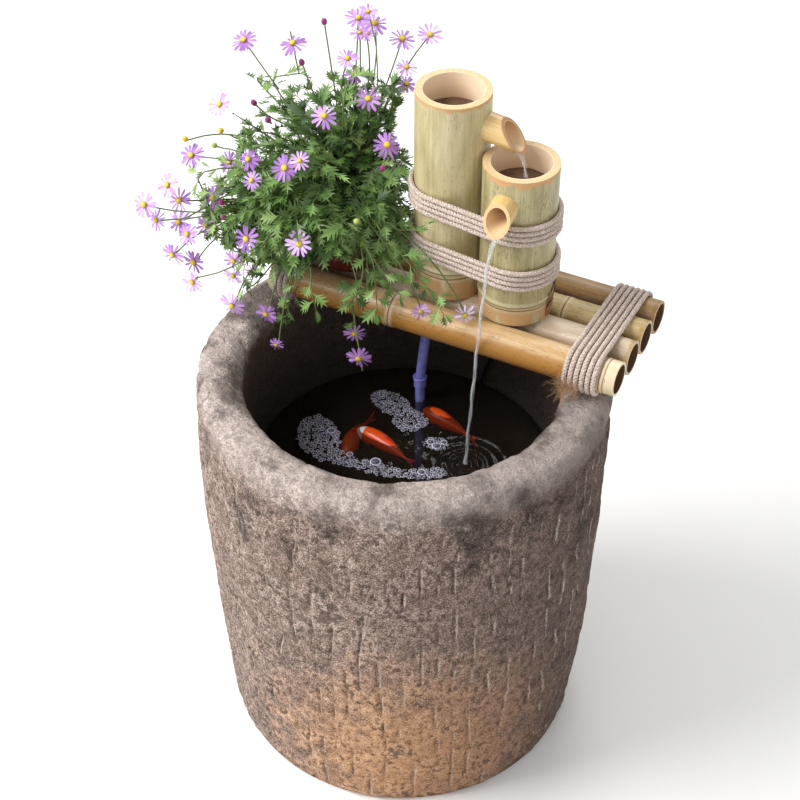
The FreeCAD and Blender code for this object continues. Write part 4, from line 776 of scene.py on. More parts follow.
@dataclass
class PumpCord:
    """The pump's cord: up the basin's back wall, over its rim, down and into a coil."""

    radius: float = 2.25
    length: float = 1.86
    gland: Place = (20.0, 106.2, 86.0)
    route: tuple[Place, ...] = (
        (39.0, 106.2, 86.0), (57.5, 112.7, 88.0), (68.0, 125.7, 97.0), (67.0, 138.0, 111.0),
        (56.0, 148.5, 134.0), (40.0, 155.0, 170.0), (26.0, 159.0, 215.0),
        (17.0, 161.5, 262.0), (14.0, 163.0, 308.0), (19.0, 163.5, 352.0),
        (33.0, 161.5, 396.0), (46.0, 160.0, 438.0), (55.0, 158.5, 464.0),
        (58.5, 157.5, 482.0), (60.5, 164.2, 494.0), (61.5, 176.6, 501.0),
        (62.5, 203.6, 501.0), (63.5, 215.8, 494.0), (64.5, 223.9, 481.0),
        (66.0, 224.8, 455.0), (70.0, 223.5, 404.0), (76.0, 221.5, 345.0),
        (81.0, 220.5, 286.0), (84.0, 220.5, 228.0), (84.0, 221.5, 170.0),
        (82.0, 224.0, 114.0), (77.0, 228.0, 74.0), (71.0, 231.0, 48.0), (61.0, 233.0, 28.0),
        (46.0, 234.5, 12.5), (26.0, 235.9, 3.45), (6.0, 236.4, 3.45))
    coil_centre: Place = (1.5, 267.5, 3.45)
    outer_radius: float = 31.0
    layer: float = 5.0
    quarters: int = 20
    points_in_quarter: int = 4
    tail: Place = (-7.5, 236.3, 8.45)

    def coil(self) -> list[Vector]:
        """The coil's points: inwards on the floor, up a layer, and out again."""
        # A quadratic spline runs inside its points by this share of their radius
        inside = 0.75 + 0.25 * math.cos(math.pi / 2 / self.points_in_quarter)
        centre = at(*self.coil_centre)
        middle = self.quarters / 2
        places = []
        for step in range(self.quarters * self.points_in_quarter + 1):
            quarter = step / self.points_in_quarter
            angle = -math.pi / 2 * (quarter + 1)
            radius = self.outer_radius - self.layer * (middle - abs(quarter - middle)) / 4
            climbed = self.layer * min(max(quarter - middle + 1, 0), 2) / 2
            way = Vector((math.cos(angle), math.sin(angle), 0.0)) * (radius * MM / inside)
            places.append(centre + way + UP * (climbed * MM))
        return places

    def build(self) -> None:
        """Make the cord as one smooth line."""
        points = [at(*self.gland)] + [at(*place) for place in self.route]
        points += self.coil() + [at(*self.tail)]
        curve = bpy.data.curves.new("pump_lead", "CURVE")
        curve.dimensions = "3D"
        curve.bevel_depth = self.radius * MM
        curve.bevel_resolution = 4
        curve.resolution_u = 5
        curve.use_fill_caps = True
        spline = curve.splines.new("NURBS")
        spline.points.add(len(points) - 1)
        for point, place in zip(spline.points, points):
            point.co = (*place, 1.0)
        spline.order_u = 3
        spline.use_endpoint_u = True
        curve.materials.append(CORD_JACKET.material())
        lead = linked("pump_lead", curve)
        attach(lead, Body.BASIN.value)
        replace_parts(lead, "pump_cord", "pump_cord_coil")
        LOG.info("pump_lead: %d points", len(points))


@dataclass
class Basin:
    """The hewn stone basin, turned in one outline and then carved point by point."""

    height: float = 497.0
    foot_radius: float = 209.0
    rim_radius: float = 227.0
    swell: float = 8.5
    bore_radius: float = 172.0
    floor_radius: float = 160.0
    floor: float = 60.0
    foot_round: float = 10.0
    rim_outer_round: float = 20.0
    rim_inner_round: float = 22.0
    floor_round: float = 25.0
    steps: int = 640
    side_points: int = 88
    bore_points: int = 18
    strokes_round: int = 70
    stroke_half: float = 2.6
    stroke_depth: float = 3.8
    stroke_length: float = 26.0
    # No stroke comes nearer the top than this, and they fade out below it
    rim_band: float = 24.0
    stroke_fade: float = 36.0
    # Width and depth of the waves, lumps, pits and chips of the hewn faces
    wave: Span = (95.0, 4.2)
    lump: Span = (26.0, 3.6)
    pit: Span = (13.0, 3.6)
    chip: Span = (5.5, 1.0)
    # The strip of the rim under the raft, and the part of it under the lashings
    raft_band: float = 22.0
    raft_y: Span = (12.0, 205.0)
    lashing_x: Span = (150.0, 228.0)

    def side(self, height: float) -> float:
        """The outer side's radius at a height."""
        share = height / self.height
        return (self.foot_radius + (self.rim_radius - self.foot_radius) * share
                + self.swell * 4 * share * (1 - share))

    def outline(self) -> list[Span]:
        """Half the basin's section, from the middle of its foot to that of its floor."""
        foot, rim, lip = self.foot_round, self.rim_outer_round, self.rim_inner_round
        top = self.height - rim
        points = [(0.0, 0.0), (70.0, 0.0), (140.0, 0.0)]
        points += rounded((self.foot_radius - foot, foot), foot, -90, 0, 4)
        points += [(self.side(foot + (top - foot) * step / self.side_points),
                    foot + (top - foot) * step / self.side_points)
                   for step in range(1, self.side_points)]
        points += rounded((self.side(top) - rim, top), rim, 0, 90, 7)
        points += [(202.0, self.height)]
        points += rounded((self.bore_radius + lip, self.height - lip), lip, 90, 180, 7)
        low, high = self.floor + self.floor_round, self.height - lip
        points += [(self.bore_radius + (self.floor_radius - self.bore_radius)
                    * step / self.bore_points, high + (low - high) * step / self.bore_points)
                   for step in range(1, self.bore_points)]
        points += rounded((self.floor_radius - self.floor_round, low), self.floor_round, 0, -90, 4)
        points += [(100.0, self.floor), (50.0, self.floor), (0.0, self.floor)]
        return [(radius * MM, height * MM) for radius, height in points]

    def stroke(self, mm: Vector, radius: float) -> Span:
        """How deep a chisel stroke is at a place, and its tint: painted shade in the groove, and
        bruise with painted highlight on one edge.

        Args:
            mm: the place, in millimetres.
            radius: its distance from the basin's axis.

        Returns:
            A share of a stroke's depth, and 0 in its groove, 1 on its edge, or a half.
        """
        bend = noise.noise(Vector((mm.x / 60.0, mm.y / 60.0, mm.z / 110.0)))
        turn = math.atan2(mm.y, mm.x) / (2 * math.pi) * self.strokes_round + 0.8 * bend
        number = math.floor(turn)
        off = (turn - number - 0.5) * 2 * math.pi * radius / self.strokes_round
        number %= self.strokes_round
        long = noise.noise(Vector((number * 3.7, 0.5, mm.z / self.stroke_length + number * 1.9)))
        force = 0.65 + 0.7 * noise.noise(Vector((number * 2.3, 9.5, mm.z / 90.0)))
        kept = force * max(0.0, min(1.0, long * 5.0 + 0.25))
        top = self.height - self.rim_band
        if mm.z > top - self.stroke_fade:
            kept *= max(0.0, min(1.0, (top - mm.z) / self.stroke_fade))
        # The tint is low in the groove, as painted shade, and high on one edge only, the side that
        # faces the light, as bruise and painted highlight
        groove = kept * max(0.0, 1.0 - abs(off) / self.stroke_half)
        edge = kept * max(0.0, 1.0 - abs(off - self.stroke_half) / (self.stroke_half * 0.8))
        return groove, 0.5 + 0.5 * max(-1.0, min(1.0, edge * 1.3 - groove * 1.3))

    def depth(self, place: Vector) -> Span:
        """How deep the chisel went at a place, in metres, and the tint of its strokes' painted
        shade and highlight.
        """
        mm = place / MM
        radius = math.hypot(mm.x, mm.y)
        outside = radius > self.bore_radius + 4
        if mm.z < self.floor + 20 and not outside or mm.z < 1.0:
            return 0.0, 0.5
        wave = self.wave[1] * (0.5 + 0.5 * noise.noise(mm / self.wave[0]))
        lump = self.lump[1] * max(
            0.0, noise.noise(mm / self.lump[0] + Vector((7.0, 0.0, 0.0))) + 0.15)
        pit = self.pit[1] * max(0.0, noise.noise(mm / self.pit[0])) \
            + self.chip[1] * max(0.0, noise.noise(mm / self.chip[0]))
        deep, tint = wave + lump + pit, 0.5
        if outside and mm.z < self.height - self.rim_band:
            groove, tint = self.stroke(mm, radius)
            deep += groove * self.stroke_depth
        elif not outside:
            deep *= 0.6
        # The lashings rest on the rim, and the raft's canes pass just over it
        if mm.z > self.height - self.raft_band and self.raft_y[0] < mm.y < self.raft_y[1]:
            near_lashing = self.lashing_x[0] < abs(mm.x) < self.lashing_x[1]
            deep *= 0.12 if near_lashing else 0.6
        return deep * MM, tint

    def build(self) -> None:
        """Turn the basin, carve it and let it stand for the model's plain one."""
        shape = bmesh.new()
        layer = shape.verts.layers.float.new("tint")
        turned(shape, self.outline(), self.steps, Vector())
        shape.normal_update()
        cuts = [(corner, corner.normal.copy(), self.depth(corner.co)) for corner in shape.verts]
        for corner, out, (deep, tint) in cuts:
            corner.co -= out * deep
            corner[layer] = tint
        stone = finish_shape(shape, "hewn_basin",
                             HewnStone("chiselled_sandstone", 0.88), Body.BASIN)
        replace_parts(stone, "stone_basin")


@dataclass
class Water:
    """The water in the basin and the culms, its falling streams and its foam."""

    level: float = 350.0
    wall_radius: float = 166.0
    floor: float = 61.5
    floor_radius: float = 150.0
    splash: Span = (64.0, 27.0)
    rings: int = 90
    steps: int = 128
    tall_pool: Place = (5.0, 104.0, 752.0)
    short_pool: Place = (87.0, 94.95, 695.0)
    pool_radius: float = 31.9
    pool_depth: float = 2.0
    seed: int = 11
    # The rings that spread from the splash
    ring_height: float = 0.9
    ring_width: float = 1.9
    ring_reach: float = 42.0
    # Where foam can be, and how often a bubble is tried there
    foam_x: Span = (-150.0, 60.0)
    foam_y: Span = (-50.0, 110.0)
    foam_tries: int = 14000
    bubble_radii: tuple[float, ...] = (0.9, 1.2, 1.5, 1.9, 2.4)
    # Middle and half widths of each patch of foam, and its turn in degrees
    patches: tuple[tuple[float, float, float, float, float], ...] = (
        (-57, 84, 29, 17, -18), (-26, 67, 21, 19, 0), (-106, -6, 38, 24, -50),
        (-72, -26, 26, 11, 0), (-22, -23, 34, 10, 4), (30, -6, 26, 9, 28), (19, 44, 14, 10, 10))
    # Middle and radius of each large bubble
    big_bubbles: tuple[Place, ...] = (
        (13.0, 44.0, 4.4), (22.0, 41.0, 5.0), (27.0, 50.0, 3.6), (-28.0, -14.0, 6.0),
        (-60.0, -16.0, 3.6), (-98.0, 10.0, 4.4), (26.0, -6.0, 4.4), (-12.0, 62.0, 3.4))

    def ripple(self, x: float, y: float) -> float:
        """The height of the ripples at a place, in millimetres."""
        away = math.hypot(x - self.splash[0], y - self.splash[1])
        wave = self.ring_height * math.sin(away / self.ring_width) \
            * math.exp(-away / self.ring_reach)
        return wave + 0.5 * noise.noise(Vector((x / 26.0, y / 14.0, 0.0)))

    def surface(self) -> None:
        """The basin's water, closed down to its floor."""
        shape = bmesh.new()
        top = [(self.wall_radius * step / self.rings * MM, self.level * MM)
               for step in range(self.rings + 1)]
        walls = [(self.wall_radius * MM, (self.level - 4) * MM),
                 (self.floor_radius * MM, self.floor * MM), (0.0, self.floor * MM)]
        turned(shape, top + walls, self.steps, Vector())
        for corner in shape.verts:
            if corner.co.z > (self.level - 1) * MM:
                corner.co.z += self.ripple(corner.co.x / MM, corner.co.y / MM) * MM
        # Brown-black and mirror-smooth, and clear enough for the fish to show
        pond = Mottled("dark_pond_water", 0.03, 1.33, tones=("#241d18", "#30271f"), size=60.0,
                       depth=0.0, alpha=0.55)
        finish_shape(shape, "basin_water", pond, Body.BASIN)

    def pools(self) -> None:
        """The water that stands in each culm."""
        # The same water, shallow and lively, over brown wood
        water = Mottled("culm_water", 0.05, 1.33, tones=("#5d483b", "#78604f"), size=22.0,
                        depth=0.3)
        for name, (x, y, z) in (("tall", self.tall_pool), ("short", self.short_pool)):
            shape = bmesh.new()
            radius = self.pool_radius * MM
            outline = [(radius * step / 16, 0.0) for step in range(17)]
            outline += [(radius, -self.pool_depth * MM), (0.0, -self.pool_depth * MM)]
            turned(shape, outline, 48, at(x, y, z))
            for corner in shape.verts:
                if corner.co.z > (z - 1) * MM:
                    corner.co.z += 0.5 * MM * noise.noise(corner.co * 160.0)
            finish_shape(shape, name + "_culm_water", water, Body.FOUNTAIN)

    def streams(self) -> None:
        """Water running over each spout's lip and falling."""
        # Places along each stream, with its half width there, in millimetres
        paths = {
            "upper": ((52.0, 106.0, 734.5, 5.5), (66.0, 106.0, 731.0, 5.0),
                      (77.0, 105.6, 727.5, 3.8), (83.0, 105.2, 721.0, 3.2),
                      (86.0, 105.0, 712.0, 2.7), (88.0, 104.6, 703.0, 2.4),
                      (89.0, 104.2, 695.0, 3.4)),
            "lower": ((86.3, 52.0, 672.5, 5.5), (86.0, 44.0, 669.5, 5.0),
                      (85.8, 36.5, 664.0, 3.8), (84.0, 32.0, 655.0, 3.0),
                      (82.0, 29.5, 635.0, 2.6), (79.5, 27.6, 600.0, 2.5),
                      (77.0, 26.4, 560.0, 2.6), (74.5, 25.6, 515.0, 2.4),
                      (72.0, 25.4, 470.0, 2.7), (69.0, 25.8, 420.0, 2.3),
                      (66.0, 26.4, 375.0, 2.6), (64.5, 27.0, 349.0, 3.6)),
        }
        turns = random.Random(self.seed)
        for name, stations in paths.items():
            lines = [self.strand(stations, strand, turns.uniform(0.0, 2 * math.pi))
                     for strand in range(3)]
            drawn_out(name + "_stream", lines, MM, 2, FALLING_WATER, Body.FOUNTAIN)

    def strand(self, stations: Sequence[tuple[float, float, float, float]], strand: int,
               phase: float) -> list[tuple[Vector, float]]:
        """One of the threads that a stream is braided from.

        Args:
            stations: places along the stream, with its half width at each.
            strand: which thread this is; the first is the stream's core.
            phase: where its winding starts.

        Returns:
            The thread's points, with its radius at each in millimetres.
        """
        points = []
        fallen = 0.0
        for first, second in zip(stations, stations[1:]):
            start, end = Vector(first[:3]), Vector(second[:3])
            count = max(2, int((end - start).length / 3.5))
            for step in range(count):
                share = step / count
                width = first[3] + (second[3] - first[3]) * share
                here = fallen + (end - start).length * share
                swing = phase + here / 9.0
                off = width * (0.0 if strand == 0 else 0.55)
                place = start.lerp(end, share) + Vector(
                    (math.cos(swing) * off, math.sin(swing) * off * 0.7, 0.0))
                thick = width * (0.66 if strand == 0 else 0.36)
                thick *= 1.0 + 0.22 * math.sin(here / 6.0 + phase * 3)
                points.append((place * MM, thick))
            fallen += (end - start).length
        return points

    def inside_patch(self, x: float, y: float) -> bool:
        """Whether a place on the water has foam."""
        for middle_x, middle_y, half_x, half_y, turn in self.patches:
            angle = math.radians(turn)
            across = (x - middle_x) * math.cos(angle) + (y - middle_y) * math.sin(angle)
            along = (y - middle_y) * math.cos(angle) - (x - middle_x) * math.sin(angle)
            ragged = 1.0 + 0.35 * noise.noise(Vector((x / 8.0, y / 8.0, 3.0)))
            if (across / half_x) ** 2 + (along / half_y) ** 2 < ragged:
                return True
        return False

    def foam(self) -> None:
        """Bubbles that lie side by side: a film over each, and a pale ring where they meet."""
        chance = random.Random(self.seed)
        bubbles = list(self.big_bubbles)
        for _ in range(self.foam_tries):
            x, y = chance.uniform(*self.foam_x), chance.uniform(*self.foam_y)
            if not self.inside_patch(x, y):
                continue
            radius = chance.choice(self.bubble_radii)
            if all((x - other_x) ** 2 + (y - other_y) ** 2 > ((radius + other) * 0.9) ** 2
                   for other_x, other_y, other in bubbles):
                bubbles.append((x, y, radius))
        rings, films = Swarm(), Swarm()
        ring_blank, film_blank = self.blank_ring(), self.blank_film()
        for x, y, radius in bubbles:
            place = Matrix.Translation(at(x, y, self.level + 0.2)) \
                @ Matrix.Diagonal((radius * MM, radius * MM, radius * MM, 1.0))
            rings.add(ring_blank, place)
            films.add(film_blank, place)
        finish_shape(rings.whole(), "foam_rings", FOAM, Body.BASIN)
        finish_shape(films.whole(), "foam_films", BUBBLE, Body.BASIN)

    def blank_ring(self) -> Mesh:
        """The rim of a bubble of unit radius."""
        shape = bmesh.new()
        section = bmesh.ops.create_circle(shape, segments=4, radius=0.17)["verts"]
        bmesh.ops.rotate(shape, verts=section, cent=(0, 0, 0),
                         matrix=Matrix.Rotation(math.pi / 2, 3, "X"))
        bmesh.ops.translate(shape, verts=section, vec=(1.0, 0.0, 0.0))
        bmesh.ops.spin(shape, geom=shape.verts[:] + shape.edges[:], cent=(0, 0, 0), axis=UP,
                       angle=2 * math.pi, steps=9, use_merge=True, use_duplicate=False)
        bmesh.ops.remove_doubles(shape, verts=shape.verts, dist=1e-4)
        bmesh.ops.recalc_face_normals(shape, faces=shape.faces)
        return blank(shape, "ring_blank")

    def blank_film(self) -> Mesh:
        """The upper half of a bubble of unit radius."""
        shape = bmesh.new()
        bmesh.ops.create_icosphere(shape, subdivisions=2, radius=0.92)
        bmesh.ops.bisect_plane(shape, geom=shape.verts[:] + shape.edges[:] + shape.faces[:],
                               plane_co=(0, 0, 0), plane_no=(0, 0, 1), clear_inner=True)
        bmesh.ops.scale(shape, verts=shape.verts, vec=(1.0, 1.0, 0.7))
        return blank(shape, "film_blank")

    def build(self) -> None:
        """Fill the basin and the culms, and let the water run."""
        self.surface()
        self.pools()
        self.streams()
        self.foam()


class Swarm:
    """Copies of small meshes, gathered in batches, because one growing shape gets slow."""

    batch_corners = 3000

    def __init__(self) -> None:
        """Start with an empty batch."""
        self.batches: list[Mesh] = []
        self.current = bmesh.new()

    def add(self, pattern: Mesh, place: Matrix,
            tint: float | Callable[[Vector], float] = 0.5) -> None:
        """Add a copy, as stamp does."""
        stamp(self.current, pattern, place, tint)
        if len(self.current.verts) > self.batch_corners:
            self.close_batch()

    def close_batch(self) -> None:
        """Put the batch aside as a mesh and start the next."""
        self.batches.append(blank(self.current, "batch"))
        self.current = bmesh.new()

    def whole(self) -> Shape:
        """All the copies as one shape."""
        self.close_batch()
        shape = bmesh.new()
        for mesh in self.batches:
            shape.from_mesh(mesh)
            bpy.data.meshes.remove(mesh)
        return shape


def stamp(shape: Shape, pattern: Mesh, place: Matrix,
          tint: float | Callable[[Vector], float] = 0.5) -> None:
    """Add a copy of a small mesh to a shape.

    Args:
        shape: the shape that gets the copy.
        pattern: the small mesh.
        place: where it goes, and how large.
        tint: the value of its tint attribute, or what gives it from the small mesh's corner.
    """
    count = len(shape.verts)
    layer = shape.verts.layers.float.get("tint") or shape.verts.layers.float.new("tint")
    shape.from_mesh(pattern)
    shape.verts.ensure_lookup_table()
    fresh = shape.verts[count:]
    for corner in fresh:
        corner[layer] = tint(corner.co) if callable(tint) else tint
    bmesh.ops.transform(shape, matrix=place, verts=fresh)


@dataclass
class Fish:
    """Goldfish that lie just under the water."""

    # Head, two bends and tail of each on the water, in millimetres, and whether it is pale-headed
    swimmers: tuple[tuple[tuple[Span, ...], bool], ...] = (
        (((-76, 30), (-44, 29), (-14, 19), (10, 6)), True),
        (((-24, 99), (2, 96), (30, 90), (56, 77)), False),
        (((-66, -12), (-78, 14), (-80, 40), (-70, 64)), False))
    levels: tuple[float, ...] = (343.5, 340.5, 339.0)
    half_width: float = 10.5
    half_height: float = 11.0
    # Shares of the way from nose to tail
    body_end: float = 0.84
    tail_root: float = 0.80
    back_root: float = 0.34
    side_root: float = 0.24
    fin_thickness: float = 0.6

    def body_share(self, along: float) -> float:
        """How full the fish is, from its nose to its tail's root."""
        return max(0.16, math.sin(math.pi * min(along, 0.995) ** 0.62) ** 0.85)

    def build(self) -> None:
        """Model each fish from a ball drawn out along its bend."""
        for number, (bends, pale) in enumerate(self.swimmers, start=1):
            shape = bmesh.new()
            layer = shape.verts.layers.float.new("tint")
            bmesh.ops.create_uvsphere(shape, u_segments=20, v_segments=28, radius=1.0)
            spine = [Vector((x, y, self.levels[number - 1])) for x, y in bends]
            for corner in shape.verts:
                along = (1.0 - corner.co.z) / 2
                ring = math.hypot(corner.co.x, corner.co.y)
                place, way = self.on_spine(spine, along * self.body_end)
                side = way.cross(UP).normalized()
                full = self.body_share(along) * (0.0 if ring < 1e-6 else 1.0)
                off_side = corner.co.x / max(ring, 1e-6) * full * self.half_width
                off_up = corner.co.y / max(ring, 1e-6) * full * self.half_height
                corner[layer] = (0.1 if pale and along < 0.16 + 0.03 * corner.co.y
                                 else 0.35 + 0.4 * along + 0.2 * abs(corner.co.x))
                corner.co = (place + side * off_side + UP * off_up) * MM
            self.fins(shape, layer, spine)
            bmesh.ops.recalc_face_normals(shape, faces=shape.faces)
            finish_shape(shape, f"goldfish_{number}", FISH_SKIN, Body.BASIN)

    def on_spine(self, spine: Sequence[Vector], share: float) -> tuple[Vector, Vector]:
        """The place and direction on a fish's bend, from nose to tail."""
        first, second, third, last = spine
        rest = 1.0 - share
        place = (first * rest ** 3 + second * 3 * rest ** 2 * share
                 + third * 3 * rest * share ** 2 + last * share ** 3)
        way = ((second - first) * rest ** 2 + (third - second) * 2 * rest * share
               + (last - third) * share ** 2)
        return place, way.normalized()

    def fins(self, shape: Shape, layer: bmesh.types.BMLayerItem, spine: Sequence[Vector]) -> None:
        """Add a forked tail, a back fin and two side fins, each a thin plate."""
        root, way = self.on_spine(spine, self.tail_root)
        plates = [(root + UP * 1.5, root + way * 20 + UP * 9, root + way * 13, root - UP * 1.5),
                  (root - UP * 1.5, root + way * 13, root + way * 20 - UP * 8, root - UP * 3)]
        back, back_way = self.on_spine(spine, self.back_root)
        plates.append((back + UP * 9, back + back_way * 8 + UP * 13,
                       back + back_way * 22 + UP * 8, back + back_way * 14 + UP * 6))
        gill, gill_way = self.on_spine(spine, self.side_root)
        gill_side = gill_way.cross(UP).normalized()
        for sign in (1, -1):
            out = gill_side * sign
            plates.append((gill + out * 7, gill + out * 14 + gill_way * 6,
                           gill + out * 12 + gill_way * 13, gill + out * 6 + gill_way * 5))
        for corners in plates:
            rim = [shape.verts.new(corner * MM) for corner in corners]
            for corner in rim:
                corner[layer] = 0.85
            face = shape.faces.new(rim)
            bmesh.ops.solidify(shape, geom=[face], thickness=self.fin_thickness * MM)


@dataclass
class Winding:
    """A rope wound round two parallel rods, laid from three twisted strands.

    Attributes:
        name: the piece's name.
        node: what it stands for.
        first: a point on one rod's axis.
        second: the point across from it on the other's.
        climb: the way the turns go, along the rods.
        seat: the room between rods and rope.
        turn_gap: the room between two turns.
        lay: how far a strand goes for one twist.
        spacing: how far apart its points are.
    """

    name: str
    node: str
    first: Place
    second: Place
    climb: Place
    rod_radius: float
    turns: int
    rope_radius: float = 3.0
    seat: float = 0.3
    turn_gap: float = 0.5
    lay: float = 11.0
    spacing: float = 1.7
    strand_radius: float = 1.5
    hairs: int = 1100
    hair_radius: float = 0.11
    seed: int = 3

    def path(self) -> list[tuple[Vector, Vector]]:
        """Points on the rope's middle line, each with the way out from the rods."""
        start, end = Vector(self.first), Vector(self.second)
        climb = Vector(self.climb)
        along = (end - start).normalized()
        across = climb.cross(along)
        radius = self.rod_radius + self.seat + self.rope_radius
        run = (end - start).length
        loop = 2 * run + 2 * math.pi * radius
        step = 2 * self.rope_radius + self.turn_gap
        points = []
        count = int(loop * self.turns / self.spacing)
        for index in range(count + 1):
            passed = index * loop * self.turns / count
            here = (passed + run / 2) % loop
            if here < run:
                middle, out = start + along * here, across
            elif here < run + math.pi * radius:
                angle = (here - run) / radius
                middle, out = end, across * math.cos(angle) + along * math.sin(angle)
            elif here < 2 * run + math.pi * radius:
                middle, out = end - along * (here - run - math.pi * radius), -across
            else:
                angle = (here - 2 * run - math.pi * radius) / radius
                middle, out = start, -across * math.cos(angle) - along * math.sin(angle)
            points.append((middle + out * radius + climb * (step * passed / loop), out))
        return points

    def build(self) -> None:
        """Lay the strands and pull some hairs out of them."""
        climb = Vector(self.climb)
        path = self.path()
        off = self.rope_radius - self.strand_radius
        lines = []
        for strand in range(3):
            line = []
            for index, (middle, out) in enumerate(path):
                swing = 2 * math.pi * (index * self.spacing / self.lay + strand / 3)
                place = middle + (out * math.cos(swing) + climb * math.sin(swing)) * off
                uneven = 1.0 + 0.10 * noise.noise(place / 5.0)
                line.append((place * MM, uneven))
            lines.append(line)
        rope = drawn_out(self.name, lines, self.strand_radius * MM, 1, JUTE, Body.FOUNTAIN)
        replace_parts(rope, self.node)
        chance = random.Random(self.seed)
        hairs = []
        for _ in range(self.hairs):
            middle, out = path[chance.randrange(len(path) - 1)]
            way = (out * chance.uniform(0.5, 1.0) + climb * chance.uniform(-0.8, 0.8)
                   + out.cross(climb) * chance.uniform(-1.0, 1.0)).normalized()
            curl = Vector([chance.uniform(-0.5, 0.5) for _ in range(3)])
            reach = chance.uniform(1.2, 3.6)
            root = middle + out * (self.rope_radius * 0.75)
            hairs.append([((root + way * reach * share + curl * reach * share * share) * MM,
                           1.0 - share * 0.7) for share in (0.0, 0.5, 1.0)])
        drawn_out(self.name + "_hairs", hairs, self.hair_radius * MM, 0, JUTE_HAIR,
                          Body.FOUNTAIN)


@dataclass
class Ropes:
    """The lashings round the raft and the bindings round the culms."""

    tall: Place = (5.0, 104.0, 0.0)
    short: Place = (87.0, 94.95, 0.0)
    culm_foot: float = 541.8
    back_cane: Place = (0.0, 164.4, 522.6)
    front_cane: Place = (0.0, 48.0, 522.6)
    culm_radius: float = 40.0
    cane_radius: float = 19.0
    # Each binding's height over the culms' feet
    bindings: tuple[tuple[str, float], ...] = (("upper_binding", 106.0), ("lower_binding", 49.0))
    # Side, start along the raft, turns and hairs of each lashing
    lashings: tuple[tuple[str, float, int, int], ...] = (("right", 170.0, 6, 1500),
                                                         ("left", -178.0, 3, 500))
    fibres: int = 230
    fibre_radius: float = 0.2

    def build(self) -> None:
        """Wind all four."""
        for name, height in self.bindings:
            lift = Vector((0.0, 0.0, self.culm_foot + height))
            Winding(name + "_rope", name, tuple(Vector(self.tall) + lift),
                    tuple(Vector(self.short) + lift), (0.0, 0.0, 1.0), self.culm_radius, 4,
                    seed=len(name)).build()
        for side, start, turns, hairs in self.lashings:
            lift = Vector((start + 3.0, 0.0, 0.0))
            Winding(f"raft_{side}_rope", f"raft_lashing_{side}",
                    tuple(Vector(self.back_cane) + lift),
                    tuple(Vector(self.front_cane) + lift), (1.0, 0.0, 0.0),
                    self.cane_radius, turns, hairs=hairs, seed=turns).build()
        self.fray()

    def fray(self) -> None:
        """Loose fibres at the lashing's lower front, where the rope's end is tucked in."""
        chance = random.Random(8)
        fibres = []
        for _ in range(self.fibres):
            root = Vector((chance.uniform(168, 190), 26.5 + chance.uniform(-2, 3),
                           chance.gauss(514, 7)))
            way = Vector((chance.uniform(-0.9, 0.7), -1.0, chance.uniform(-1.1, 0.4)))
            bend = Vector([chance.uniform(-0.7, 0.7) for _ in range(3)])
            reach = chance.uniform(4, 15)
            fibres.append([((root + way.normalized() * reach * share
                             + bend * reach * share ** 2) * MM, 1.0 - share * 0.6)
                           for share in (0.0, 0.33, 0.66, 1.0)])
        drawn_out("rope_fray", fibres, self.fibre_radius * MM, 0, JUTE_FRAY, Body.FOUNTAIN)


